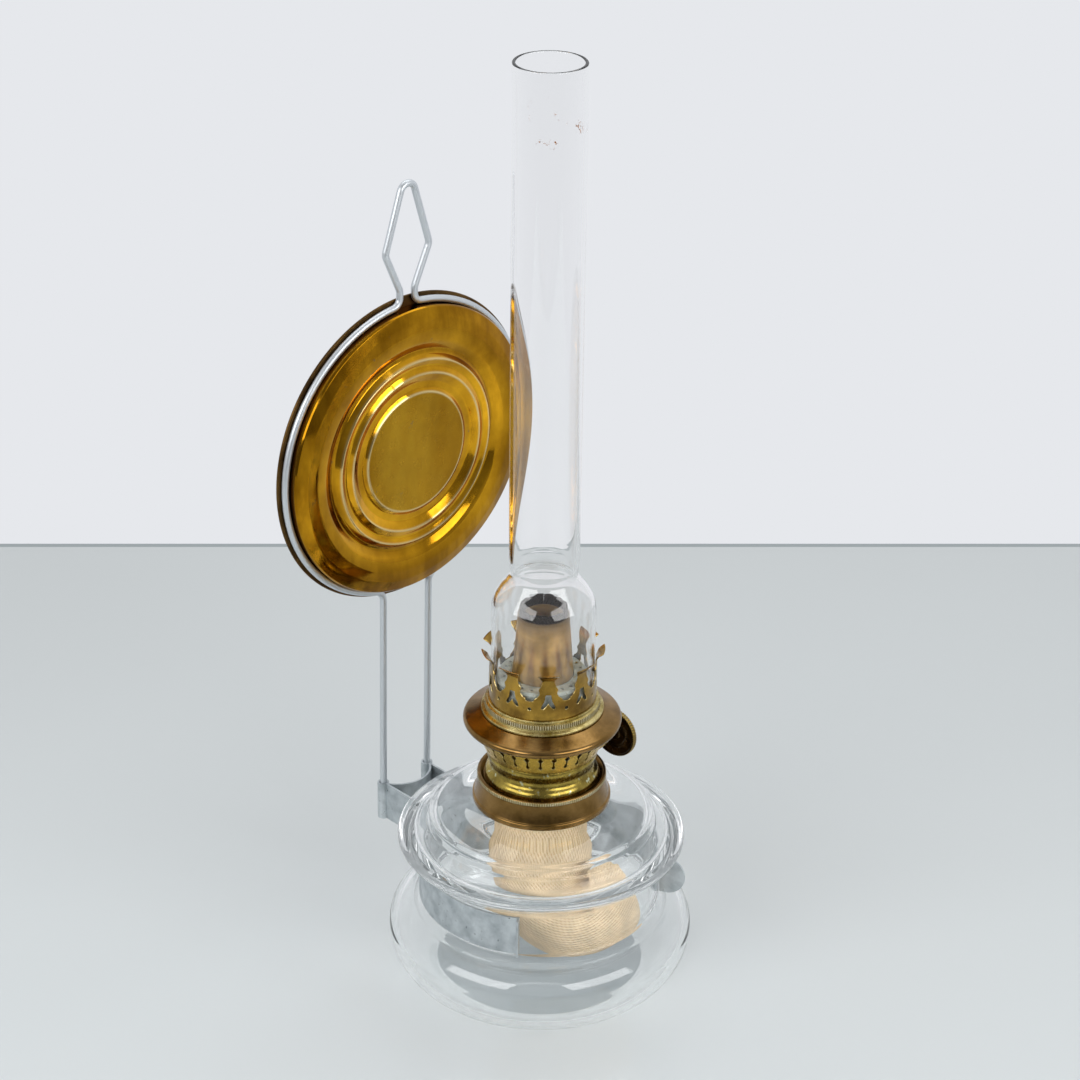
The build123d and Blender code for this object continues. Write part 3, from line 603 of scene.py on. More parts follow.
FONT_GLASS = Glass("pressed_soda_glass", "font_glass", tint="#fafbfb", wave_mm=26.0, wave_depth_mm=0.05)
CHIMNEY_GLASS = Glass(
    "blown_soda_glass", "chimney_glass", tint="#fdfdfd", wave_mm=40.0, wave_depth_mm=0.03,
    speck_from_mm=362.0, speck_to_mm=396.0,
)
REFLECTOR_BRASS = StampedBrass(
    "polished_reflector_brass", "reflector_brass", bright="#e6aa24", dark="#aa7614", spot="#77705e",
    blotch_mm=26.0, spot_mm=6.0, spot_share=0.68, rough_low=0.05, rough_high=0.16,
)
DARK_BRASS = AgedBrass(
    "dark_sheet_brass", "dark_brass", bright="#6a4f2a", dark="#3d2c18",
    blotch_mm=16.0, rough_low=0.3, rough_high=0.5,
)
YELLOW_BRASS = AgedBrass(
    "worn_yellow_brass", "yellow_brass", bright="#c8a552", dark="#8a6f36", spot="#55482c",
    blotch_mm=7.0, spot_mm=1.8, spot_share=0.7, rough_low=0.16, rough_high=0.34,
)
CROWN_BRASS = AgedBrass(
    "heat_browned_brass", "yellow_brass", bright="#a9863a", dark="#6e5324", spot="#43351c",
    blotch_mm=9.0, spot_mm=1.8, spot_share=0.72, rough_low=0.16, rough_high=0.3,
)
# Painted light: the basket's brass is lighter than the other yellow brass, as a painted reflection of the
# bright table below it.
BASKET_BRASS = AgedBrass(
    "painted_light_basket_brass", "yellow_brass", bright="#d8b24a", dark="#ae8a32", spot="#70592a",
    blotch_mm=14.0, spot_share=0.76, rough_low=0.2, rough_high=0.28, dent_mm=0.008,
)
BASE_BRASS = AgedBrass(
    "verdigris_base_brass", "yellow_brass", bright="#b09a4a", dark="#7a6830", spot="#c3c8ac",
    blotch_mm=6.0, spot_mm=2.4, spot_share=0.62, rough_low=0.16, rough_high=0.36,
)
CUP_BRASS = AgedBrass(
    "powdery_cup_brass", "yellow_brass", bright="#aeb5ac", dark="#747b70", spot="#8d7a4c",
    blotch_mm=5.0, rough_low=0.4, rough_high=0.6, metal=0.4,
)
SEAT_BRASS = AgedBrass(
    "rubbed_seat_brass", "yellow_brass", bright="#cdbd84", dark="#94803f", spot="#b4b898",
    blotch_mm=6.0, spot_mm=2.0, rough_low=0.18,
)
BROWN_BRASS = AgedBrass(
    "brown_lacquered_brass", "brown_brass", bright="#937344", dark="#654b22", spot="#44331b",
    blotch_mm=12.0, spot_mm=1.6, spot_share=0.72, rough_low=0.16, rough_high=0.28, dent_mm=0.01,
)
TUBE_BRASS = SootedBrass(
    "sooted_tube_brass", "tube_brass", bright="#cfa562", dark="#9a7840", spot="#6a5632",
    blotch_mm=11.0, spot_share=0.74, rough_low=0.3, rough_high=0.4, dent_mm=0.008,
)
KNOB_BRASS = AgedBrass(
    "blackened_knob_brass", "knob_brass", bright="#4a3a24", dark="#231b12", spot="#7a6038", blotch_mm=5.0
)
MILLED_BRASS = AgedBrass(
    "bright_milled_brass", "yellow_brass", bright="#ece4c8", dark="#bfae78", blotch_mm=6.0, rough_low=0.25
)
# Painted shade: the furrows of the milled bands take a darker brass than their ridges.
FURROW_BRASS = AgedBrass(
    "furrow_shade_brass", "brown_brass", bright="#97875a", dark="#6b5a30", blotch_mm=6.0, rough_low=0.35
)
# Bare metal on the cut edges, painted paler still as a painted highlight along them.
CUT_BRASS = AgedBrass(
    "bare_and_highlight_edge_brass", "yellow_brass", bright="#e9d9a0", dark="#c3ab62",
    blotch_mm=4.0, rough_low=0.2, rough_high=0.3,
)
STRAP_ZINC = Galvanised(
    "galvanised_strap", "galvanised_sheet", light="#c9d0d3", dark="#a7afb3", spangle_mm=4.0, speck_mm=1.4
)
WIRE_ZINC = Galvanised(
    "galvanised_wire", "galvanised_wire", light="#828b92", dark="#666e76",
    spangle_mm=4.0, speck_mm=2.4, speck_share=0.7, rough=0.4,
)
SHAFT_STEEL = Galvanised(
    "dull_steel", "shaft_steel", light="#8b8a86", dark="#5f5c57", spangle_mm=3.0, rough=0.4
)
COTTON = WovenCotton("cotton_twill", "cotton")
PLASTER = Plaster("lamp_plaster", "plaster")


def deselect() -> None:
    """Leave object mode if needed and select nothing."""
    if bpy.context.mode != "OBJECT":
        bpy.ops.object.mode_set(mode="OBJECT")
    bpy.ops.object.select_all(action="DESELECT")


def select_only(piece: Piece) -> None:
    """Make a piece the only selected one, and active.

    Args:
        piece: the piece.
    """
    deselect()
    piece.select_set(True)
    bpy.context.view_layer.objects.active = piece


def rounded(corners: Iterable[Corner], closed: bool, steps: int) -> list[Point]:
    """Round the corners of an outline.

    Args:
        corners: corners of the outline.
        closed: whether the last corner joins the first.
        steps: number of chords in a rounding.

    Returns:
        Points of the outline in millimetres.
    """
    items = list(corners)
    count = len(items)
    points: list[Point] = []
    for i, (x, z, rounding) in enumerate(items):
        at_end = not closed and i in (0, count - 1)
        if rounding <= 0 or at_end:
            points.append((x, z))
            continue
        here = Vector((x, z))
        back = Vector(items[i - 1][:2]) - here
        ahead = Vector(items[(i + 1) % count][:2]) - here
        half = back.angle(ahead) / 2
        reach = min(rounding / math.tan(half), back.length * SIDE_SHARE, ahead.length * SIDE_SHARE)
        start = here + back.normalized() * reach
        end = here + ahead.normalized() * reach
        for k in range(steps + 1):
            t = k / steps
            bend = start * (1 - t) ** 2 + here * 2 * t * (1 - t) + end * t**2
            points.append((bend.x, bend.y))
    return points


def ellipse(centre: Point, across: float, up: float, start: float, end: float, steps: int) -> list[Corner]:
    """Corners along part of an ellipse, from a start to an end angle in degrees."""
    angles = [math.radians(start + (end - start) * k / steps) for k in range(steps + 1)]
    return [(centre[0] + across * math.cos(a), centre[1] + up * math.sin(a), 0.0) for a in angles]


def through(points: Sequence[Vector], steps: int) -> list[Vector]:
    """Run smoothly through points.

    Args:
        points: points that the run passes through, flat or in space.
        steps: number of chords between two points.

    Returns:
        Points along the run.
    """
    run = []
    last = len(points) - 1
    for i in range(last):
        before = points[max(i - 1, 0)]
        here = points[i]
        there = points[i + 1]
        after = points[min(i + 2, last)]
        slope = there - before
        curve = before * 2 - here * 5 + there * 4 - after
        twist = here * 3 - before - there * 3 + after
        for k in range(steps):
            t = k / steps
            run.append(here + slope * (0.5 * t) + curve * (0.5 * t * t) + twist * (0.5 * t**3))
    run.append(points[last])
    return run


def close_ends(piece: Piece) -> None:
    """Join the two loose ends of an outline that is being drawn in edit mode.

    Args:
        piece: the piece that is being drawn.
    """
    mesh = bmesh.from_edit_mesh(piece.data)
    for vert in mesh.verts:
        vert.select_set(len(vert.link_edges) == 1)
    mesh.select_flush_mode()
    bmesh.update_edit_mesh(piece.data)
    bpy.ops.mesh.edge_face_add()


def turned(name: str, corners: Iterable[Corner], around: int, bend: int, closed: bool = True) -> Piece:
    """Turn a piece: its outline is drawn by extruding one vertex, then spun about Z.

    Args:
        name: the piece's name.
        corners: corners of its section.
        around: number of steps round the turn.
        bend: number of chords in a rounding.
        closed: whether the last corner joins the first, or both ends lie on the axis.

    Returns:
        The piece.
    """
    deselect()
    bpy.ops.mesh.primitive_plane_add(size=MM)
    piece = bpy.context.active_object
    piece.name = name
    piece.data.name = name
    bpy.ops.object.mode_set(mode="EDIT")
    bpy.ops.mesh.select_all(action="SELECT")
    bpy.ops.mesh.merge(type="CENTER")
    spots = [Vector((x * MM, 0.0, z * MM)) for x, z in rounded(corners, closed, bend)]
    bpy.ops.transform.translate(value=spots[0])
    for here, there in zip(spots, spots[1:]):
        bpy.ops.mesh.extrude_region_move(TRANSFORM_OT_translate={"value": there - here})
    if closed:
        close_ends(piece)
    bpy.ops.mesh.select_all(action="SELECT")
    bpy.ops.mesh.spin(steps=around, angle=FULL_TURN, center=(0.0, 0.0, 0.0), axis=(0.0, 0.0, 1.0))
    bpy.ops.mesh.select_all(action="SELECT")
    bpy.ops.mesh.remove_doubles(threshold=SEAM_MM * MM)
    bpy.ops.mesh.normals_make_consistent(inside=False)
    bpy.ops.object.mode_set(mode="OBJECT")
    return piece


def smoothed(node: str, name: str) -> Piece:
    """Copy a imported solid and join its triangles.

    Args:
        node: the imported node.
        name: the piece's name.

    Returns:
        The piece.
    """
    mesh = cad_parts[node].data.copy()
    mesh.materials.clear()
    piece = bpy.data.objects.new(name, mesh)
    mesh.name = name
    bpy.context.scene.collection.objects.link(piece)
    select_only(piece)
    bpy.ops.object.mode_set(mode="EDIT")
    bpy.ops.mesh.select_all(action="SELECT")
    bpy.ops.mesh.remove_doubles(threshold=WELD_MM * MM)
    bpy.ops.mesh.customdata_custom_splitnormals_clear()
    bpy.ops.object.mode_set(mode="OBJECT")
    return piece


def placed(piece: Piece, place: Matrix) -> Piece:
    """Move a piece that was built at the origin, and apply the move to its mesh.

    Args:
        piece: the piece.
        place: where it goes.

    Returns:
        The piece.
    """
    select_only(piece)
    piece.matrix_world = place
    bpy.ops.object.transform_apply(location=True, rotation=True, scale=True)
    return piece


def dressed(piece: Piece, finish: Finish, body: Body, *nodes: str, angle: float = 35.0) -> Piece:
    """Smooth a piece, give it its finish, and let it ride on its body.

    Args:
        piece: the finished mesh.
        finish: its finish.
        body: the body that it moves with.
        nodes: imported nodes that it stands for.
        angle: edges sharper than this stay sharp, in degrees.

    Returns:
        The piece.
    """
    select_only(piece)
    bpy.ops.object.shade_smooth_by_angle(angle=math.radians(angle))
    piece.data.materials.clear()
    piece.data.materials.append(finish.material())
    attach(piece, body.value)
    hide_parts(*nodes)
    LOG.info("%s: %d faces, %s", piece.name, len(piece.data.polygons), finish.name)
    return piece


def copied(node: str, name: str, finish: Finish, body: Body, angle: float = 35.0) -> Piece:
    """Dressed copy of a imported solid, which it stands for."""
    return dressed(smoothed(node, name), finish, body, node, angle=angle)


def show_cut_edges(piece: Piece, finish: Finish, width_mm: float, angle: float = 40.0) -> None:
    """Bevel the sharp edges of a dressed piece and paint them pale, for the bare metal there and as a
    painted highlight.

    Args:
        piece: the dressed piece.
        finish: finish of the edge, bare metal with a painted highlight.
        width_mm: width of the bevel in millimetres.
        angle: only edges sharper than this are bevelled, in degrees.
    """
    select_only(piece)
    piece.data.materials.append(finish.material())
    bevel = piece.modifiers.new("cut_edges", "BEVEL")
    bevel.width = width_mm * MM
    bevel.segments = 1
    bevel.limit_method = "ANGLE"
    bevel.angle_limit = math.radians(angle)
    bevel.use_clamp_overlap = False
    bevel.material = len(piece.data.materials) - 1
    bpy.ops.object.modifier_apply(modifier=bevel.name)
    bpy.ops.object.shade_smooth_by_angle(angle=math.radians(angle))


def clear_glass(piece: Piece) -> None:
    """Let a dressed glass piece pass light as it should.

    Normals weighted by face size keep a rounded rim from tilting those of the long faces beside it, which
    would turn the glass black near its edges. Light passes clear glass, so the piece casts no shadow.

    Args:
        piece: the dressed piece.
    """
    select_only(piece)
    modifier = piece.modifiers.new("steady", "WEIGHTED_NORMAL")
    modifier.keep_sharp = True
    bpy.ops.object.modifier_apply(modifier=modifier.name)
    piece.visible_shadow = False


@dataclass(frozen=True)
class MilledBand:
    """Band of fine upright ridges on a turned piece: its place, its count of ridges and their depth."""

    low: float
    high: float
    inside: float
    ridges: int
    depth: float

    @property
    def steps(self) -> int:
        """Steps round the turn: every third one is a furrow."""
        return 3 * self.ridges

    def holds(self, point: Vector) -> bool:
        """Whether a point of the piece lies in the band."""
        outside = math.hypot(point.x, point.y) > self.inside * MM
        return outside and self.low * MM < point.z < self.high * MM

    def press(self, piece: Piece, ridge: Finish, furrow: Finish) -> None:
        """Press the furrows into a turned and dressed piece, and give ridges and furrows their finish.

        Args:
            piece: piece turned about Z with this band's steps.
            ridge: finish of the worn ridges.
            furrow: finish of the furrows, darker than the ridges as painted shade.
        """
        mesh = piece.data
        pressed = set()
        for vert in mesh.vertices:
            column = round(math.atan2(vert.co.y, vert.co.x) / FULL_TURN * self.steps)
            if column % 3 == 0 and self.holds(vert.co):
                pressed.add(vert.index)
        for face in mesh.polygons:
            if self.holds(face.center):
                face.material_index = 2 if pressed.intersection(face.vertices) else 1
        for index in pressed:
            spot = mesh.vertices[index].co
            share = 1.0 - self.depth * MM / math.hypot(spot.x, spot.y)
            spot.x *= share
            spot.y *= share
        mesh.materials.append(ridge.material())
        mesh.materials.append(furrow.material())


@dataclass
class Font:
    """Pressed glass font: bulged foot, waist, brim, stepped shoulder and neck."""

    wall: float = 3.4
    foot: float = 44.0
    bulge: float = 65.0
    bulge_level: float = 23.0
    bulge_over: float = 13.0
    bulge_turn: float = 78.0
    under_steps: int = 18
    over_steps: int = 14
    floor_rise: float = 2.2
    waist: float = 51.0
    waist_low: float = 38.0
    waist_high: float = 58.0
    brim: float = 61.0
    brim_level: float = 67.4
    brim_half: float = 2.8
    brim_flat: float = 1.6
    brim_root: float = 57.6
    step: float = 47.4
    step_low: float = 74.4
    step_high: float = 77.8
    step_round: float = 2.2
    step_slope: float = 1.0
    dome_swell: float = 1.1
    neck: float = 25.8
    neck_bore: float = 23.8
    neck_low: float = 85.0
    neck_root: float = 2.4
    neck_top: float = 94.2
    around: int = 160

    def bulge_side(self, inset: float) -> list[Corner]:
        """Draw the side of the bulge from the foot to the waist.

        Args:
            inset: distance that the side is set in by.

        Returns:
            Corners of two arcs.
        """
        level = self.bulge_level
        low = (self.bulge - self.foot - inset, level - inset)
        high = (self.bulge - self.waist - inset, self.bulge_over - inset)
        under = ellipse((self.foot, level), *low, -90, 0, self.under_steps)
        over = ellipse((self.waist, level), *high, 0, self.bulge_turn, self.over_steps)
        return [*under, *over[1:]]

    def outside(self) -> list[Corner]:
        """Draw the outside from the middle of the foot to the rim of the neck.

        Returns:
            Corners of the outside.
        """
        dome_low = self.step_high + self.step_round
        dome_middle = ((self.step + self.neck) / 2, (dome_low + self.neck_low) / 2 + self.dome_swell)
        return [
            (0, 0, 0),
            *self.bulge_side(0.0),
            (self.waist, self.waist_low, 1.2),
            (self.waist, self.waist_high, 4.0),
            (self.brim_root, self.brim_level - self.brim_half, 3.0),
            (self.brim, self.brim_level - self.brim_flat, 2.4),
            (self.brim, self.brim_level + self.brim_flat, 2.4),
            (self.brim_root, self.brim_level + self.brim_half, 4.0),
            (self.step + self.step_slope, self.step_low, 1.6),
            (self.step, self.step_high + self.step_slope, 2.0),
            (self.step - self.step_round, dome_low, 2.0),
            (*dome_middle, 30.0),
            (self.neck + self.neck_root, self.neck_low, 1.0),
            (self.neck, self.neck_low, 0.6),
            (self.neck, self.neck_top, 0.8),
        ]

    def inside(self) -> list[Corner]:
        """Draw the inside from the rim of the neck to the middle of the floor.

        Returns:
            Corners of the inside.
        """
        wall = self.wall
        slope = self.step_slope
        dome_low = self.step_high + self.step_round
        return [
            (self.neck_bore, self.neck_top, 0.8),
            (self.neck_bore, self.neck_low - wall, 3.0),
            (self.step - self.step_round - slope, dome_low - wall, 3.0),
            (self.step - wall / 2, self.step_low - wall, 3.0),
            (self.brim_root - wall, self.brim_level, 4.0),
            (self.waist - wall, self.waist_high + slope, 4.0),
            (self.waist - wall, self.waist_low - slope, 1.5),
            *reversed(self.bulge_side(wall)),
            (0, wall + self.floor_rise, 0),
        ]

    def build(self) -> None:
        """Turn the glass and dress it."""
        piece = turned("glass_font", self.outside() + self.inside(), self.around, bend=5, closed=False)
        clear_glass(dressed(piece, FONT_GLASS, Body.FONT, "oil_font", angle=60.0))


@dataclass
class Collar:
    """Brown brass collar on the neck, with its milled bead, and the plaster that holds it."""

    sheet: float = 0.8
    foot: float = 29.2
    bead: float = 27.2
    low: float = 85.3
    top: float = 97.7
    seat: float = 96.3
    roll: float = 2.2
    roll_step: float = 0.75
    skirt_step: float = 0.6
    bead_height: float = 2.2
    bead_round: float = 0.5
    bead_end: float = 0.3
    well: float = 24.5
    thread: float = 22.95
    sleeve: float = 23.5
    sleeve_low: float = 89.8
    ridges: int = 170
    ridge_depth: float = 0.3

    def outline(self) -> list[Corner]:
        """Draw the section, round from the rolled foot.

        Returns:
            Corners of the closed section.
        """
        sheet = self.sheet
        turn = self.bead_round
        skirt_top = self.top - self.bead_height
        inside = self.bead - turn - sheet
        roll_top = self.low + self.roll
        return [
            (self.foot - sheet, self.low, 0.3),
            (self.foot, self.low, 0.9),
            (self.foot, roll_top, 0.9),
            (self.foot - self.roll_step, roll_top + turn, 0.3),
            (self.bead - self.skirt_step, skirt_top, 0.3),
            (self.bead, skirt_top + 0.4, 0.25),
            (self.bead, self.top - turn, 0.3),
            (self.bead - turn, self.top, 0.25),
            (inside, self.top, 0.3),
            (self.well, self.seat, 0.5),
            (self.thread, self.seat, 0.2),
            (self.thread, self.sleeve_low, 0.1),
            (self.sleeve, self.sleeve_low, 0.1),
            (self.sleeve, self.seat - sheet, 0.2),
            (self.well, self.seat - sheet, 0.3),
            (inside, skirt_top + turn, 0.2),
            (inside, skirt_top, 0.2),
            (self.foot - turn - sheet, roll_top + 2 * turn, 0.3),
            (self.foot - sheet, roll_top, 0.3),
        ]

    def build(self) -> None:
        """Turn the collar, mill its bead, and dress it and the plaster."""
        low = self.top - self.bead_height + self.bead_end
        high = self.top - self.bead_end
        band = MilledBand(low, high, self.bead - self.bead_round, self.ridges, self.ridge_depth)
        piece = turned("neck_collar", self.outline(), band.steps, bend=3)
        dressed(piece, BROWN_BRASS, Body.FONT, "font_collar")
        band.press(piece, MILLED_BRASS, FURROW_BRASS)
        copied("collar_cement", "neck_plaster", PLASTER, Body.FONT)


@dataclass
class Burner:
    """Brass burner: base, pierced basket, gallery ring, stepped seat, pierced crown, cup and wick tubes."""

    sheet: float = 0.5
    gallery_radius: float = 33.15
    gallery_low: float = 121.2
    gallery_top: float = 128.2
    gallery_bore: float = 24.6
    gallery_flat: float = 1.5
    gallery_roll: float = 1.95
    gallery_around: int = 144
    roll_steps: int = 12
    basket_rim: float = 28.6
    basket_gap: float = 0.2
    seat_low: float = 128.3
    seat_top: float = 134.1
    seat_bore: float = 19.5
    lower_step: float = 25.6
    milled: float = 24.1
    milled_low: float = 2.2
    milled_high: float = 4.4
    milled_wall: float = 0.4
    seat: float = 23.1
    ridges: int = 150
    ridge_depth: float = 0.3
    cut_edge: float = 0.1

    def gallery_outline(self) -> list[Corner]:
        """Draw the section of the gallery ring, round from its rolled edge.

        Returns:
            Corners of the closed section.
        """
        sheet = self.sheet
        roll_r = self.gallery_radius - self.gallery_roll
        roll_z = self.gallery_low + self.gallery_roll + sheet
        lip = self.basket_rim - self.basket_gap
        flat = self.gallery_bore + self.gallery_flat
        return [
            *ellipse((roll_r, roll_z), self.gallery_roll, self.gallery_roll, -100, 80, self.roll_steps),
            (flat, self.gallery_top, 0.6),
            (self.gallery_bore, self.gallery_top, 0.2),
            (self.gallery_bore, self.gallery_top - sheet, 0.2),
            (flat - 0.2, self.gallery_top - sheet, 0.4),
            (roll_r - 2 * sheet, roll_z + 2 * sheet, 0.4),
            (roll_r - 3 * sheet, self.gallery_low + 2 * sheet, 0.4),
            (lip, self.gallery_low + sheet, 0.2),
            (lip, self.gallery_low, 0.2),
        ]

    def seat_outline(self) -> list[Corner]:
        """Draw the section of the stepped seat ring, round from its bore.

        Returns:
            Corners of the closed section.
        """
        low = self.seat_low
        return [
            (self.seat_bore, low, 0.1),
            (self.lower_step, low, 0.3),
            (self.lower_step, low + 1.1, 0.35),
            (self.milled - 0.1, low + 1.6, 0.2),
            (self.milled, low + 2.4, 0.2),
            (self.milled, low + 4.2, 0.2),
            (self.seat - 0.3, low + 4.7, 0.15),
            (self.seat, low + 5.0, 0.2),
            (self.seat, self.seat_top, 0.3),
            (self.seat_bore, self.seat_top, 0.1),
        ]

    def build(self) -> None:
        """Build and dress every piece of the burner but the winder and the wick."""
        gallery = turned("gallery_ring_turned", self.gallery_outline(), self.gallery_around, bend=4)
        dressed(gallery, BROWN_BRASS, Body.BURNER, "gallery_ring")
        low = self.seat_low + self.milled_low
        high = self.seat_low + self.milled_high
        band = MilledBand(low, high, self.milled - self.milled_wall, self.ridges, self.ridge_depth)
        seat = turned("seat_ring_milled", self.seat_outline(), band.steps, bend=3)
        dressed(seat, SEAT_BRASS, Body.BURNER, "seat_ring")
        band.press(seat, MILLED_BRASS, FURROW_BRASS)
        for node, name, finish in (
            ("burner_base", "screw_base", BASE_BRASS),
            ("air_cup", "perforated_cup", CUP_BRASS),
            ("wick_tube", "tapered_wick_tube", TUBE_BRASS),
            ("draught_tube", "inner_draught_tube", TUBE_BRASS),
            ("shaft_bush", "winder_bush", YELLOW_BRASS),
            ("shaft_bracket", "winder_bracket", YELLOW_BRASS),
        ):
            copied(node, name, finish, Body.BURNER)
        for node, name, finish in (
            ("air_basket", "pierced_basket", BASKET_BRASS),
            ("chimney_crown", "pierced_crown", CROWN_BRASS),
        ):
            show_cut_edges(copied(node, name, finish, Body.BURNER), CUT_BRASS, self.cut_edge)
        copied("burner_floor", "base_floor", YELLOW_BRASS, Body.SCREW)


@dataclass
class Winder:
    """Winder: shaft with two toothed wheels, and a stamped knob with a milled edge and a rivet."""

    clock: float = 8.7
    offset: float = 15.0
    height: float = 107.0
    knob_reach: float = 31.0
    knob_radius: float = 10.95
    knob_thick: float = 2.2
    hollow: float = 0.5
    milled_wall: float = 0.4
    ridges: int = 60
    ridge_depth: float = 0.35

    def on_shaft(self, reach: float) -> Matrix:
        """Find a place on the shaft, with Z along the shaft.

        Args:
            reach: distance from the burner's axis along the shaft, in millimetres.

        Returns:
            The place.
        """
        turn = Matrix.Rotation(math.radians(self.clock), 4, "Z")
        spot = Matrix.Translation(Vector((reach, -self.offset, self.height)) * MM)
        return turn @ spot @ Matrix.Rotation(math.radians(90.0), 4, "Y")

    def knob_outline(self) -> list[Corner]:
        """Draw the section of the knob, with the same stamping on both faces.

        Returns:
            Corners from the middle of one face to the middle of the other.
        """
        half = self.knob_thick / 2
        low = half - self.hollow
        radius = self.knob_radius
        side = [
            (radius * 0.27, half, 0.2),
            (radius * 0.31, low, 0.2),
            (radius * 0.51, low, 0.3),
            (radius * 0.58, half, 0.3),
            (radius * 0.66, low, 0.3),
            (radius * 0.89, low, 0.2),
            (radius * 0.93, half, 0.2),
            (radius, half, 0.25),
        ]
        other = [(x, -z, bend) for x, z, bend in reversed(side)]
        return [(0, half, 0), *side, *other, (0, -half, 0)]

    def build(self) -> None:
        """Turn and mill the knob, and dress it with the shaft, wheels and rivet."""
        inside = self.knob_radius - self.milled_wall
        band = MilledBand(-self.knob_thick, self.knob_thick, inside, self.ridges, self.ridge_depth)
        knob = turned("milled_knob", self.knob_outline(), band.steps, bend=3, closed=False)
        dressed(knob, KNOB_BRASS, Body.WINDER, "winder_knob")
        band.press(knob, YELLOW_BRASS, FURROW_BRASS)
        placed(knob, self.on_shaft(self.knob_reach))
        copied("winder_shaft", "winder_rod", SHAFT_STEEL, Body.WINDER)
        copied("winder_wheels", "toothed_wheels", SHAFT_STEEL, Body.WINDER)
        copied("knob_rivet", "domed_rivet", YELLOW_BRASS, Body.WINDER)


@dataclass(frozen=True)
class Station:
    """Place on the wick below its roll: its way and curl in roll radii, and its facing in degrees."""

    aside: float
    forward: float
    drop: float
    curl: float
    facing: float = 0.0


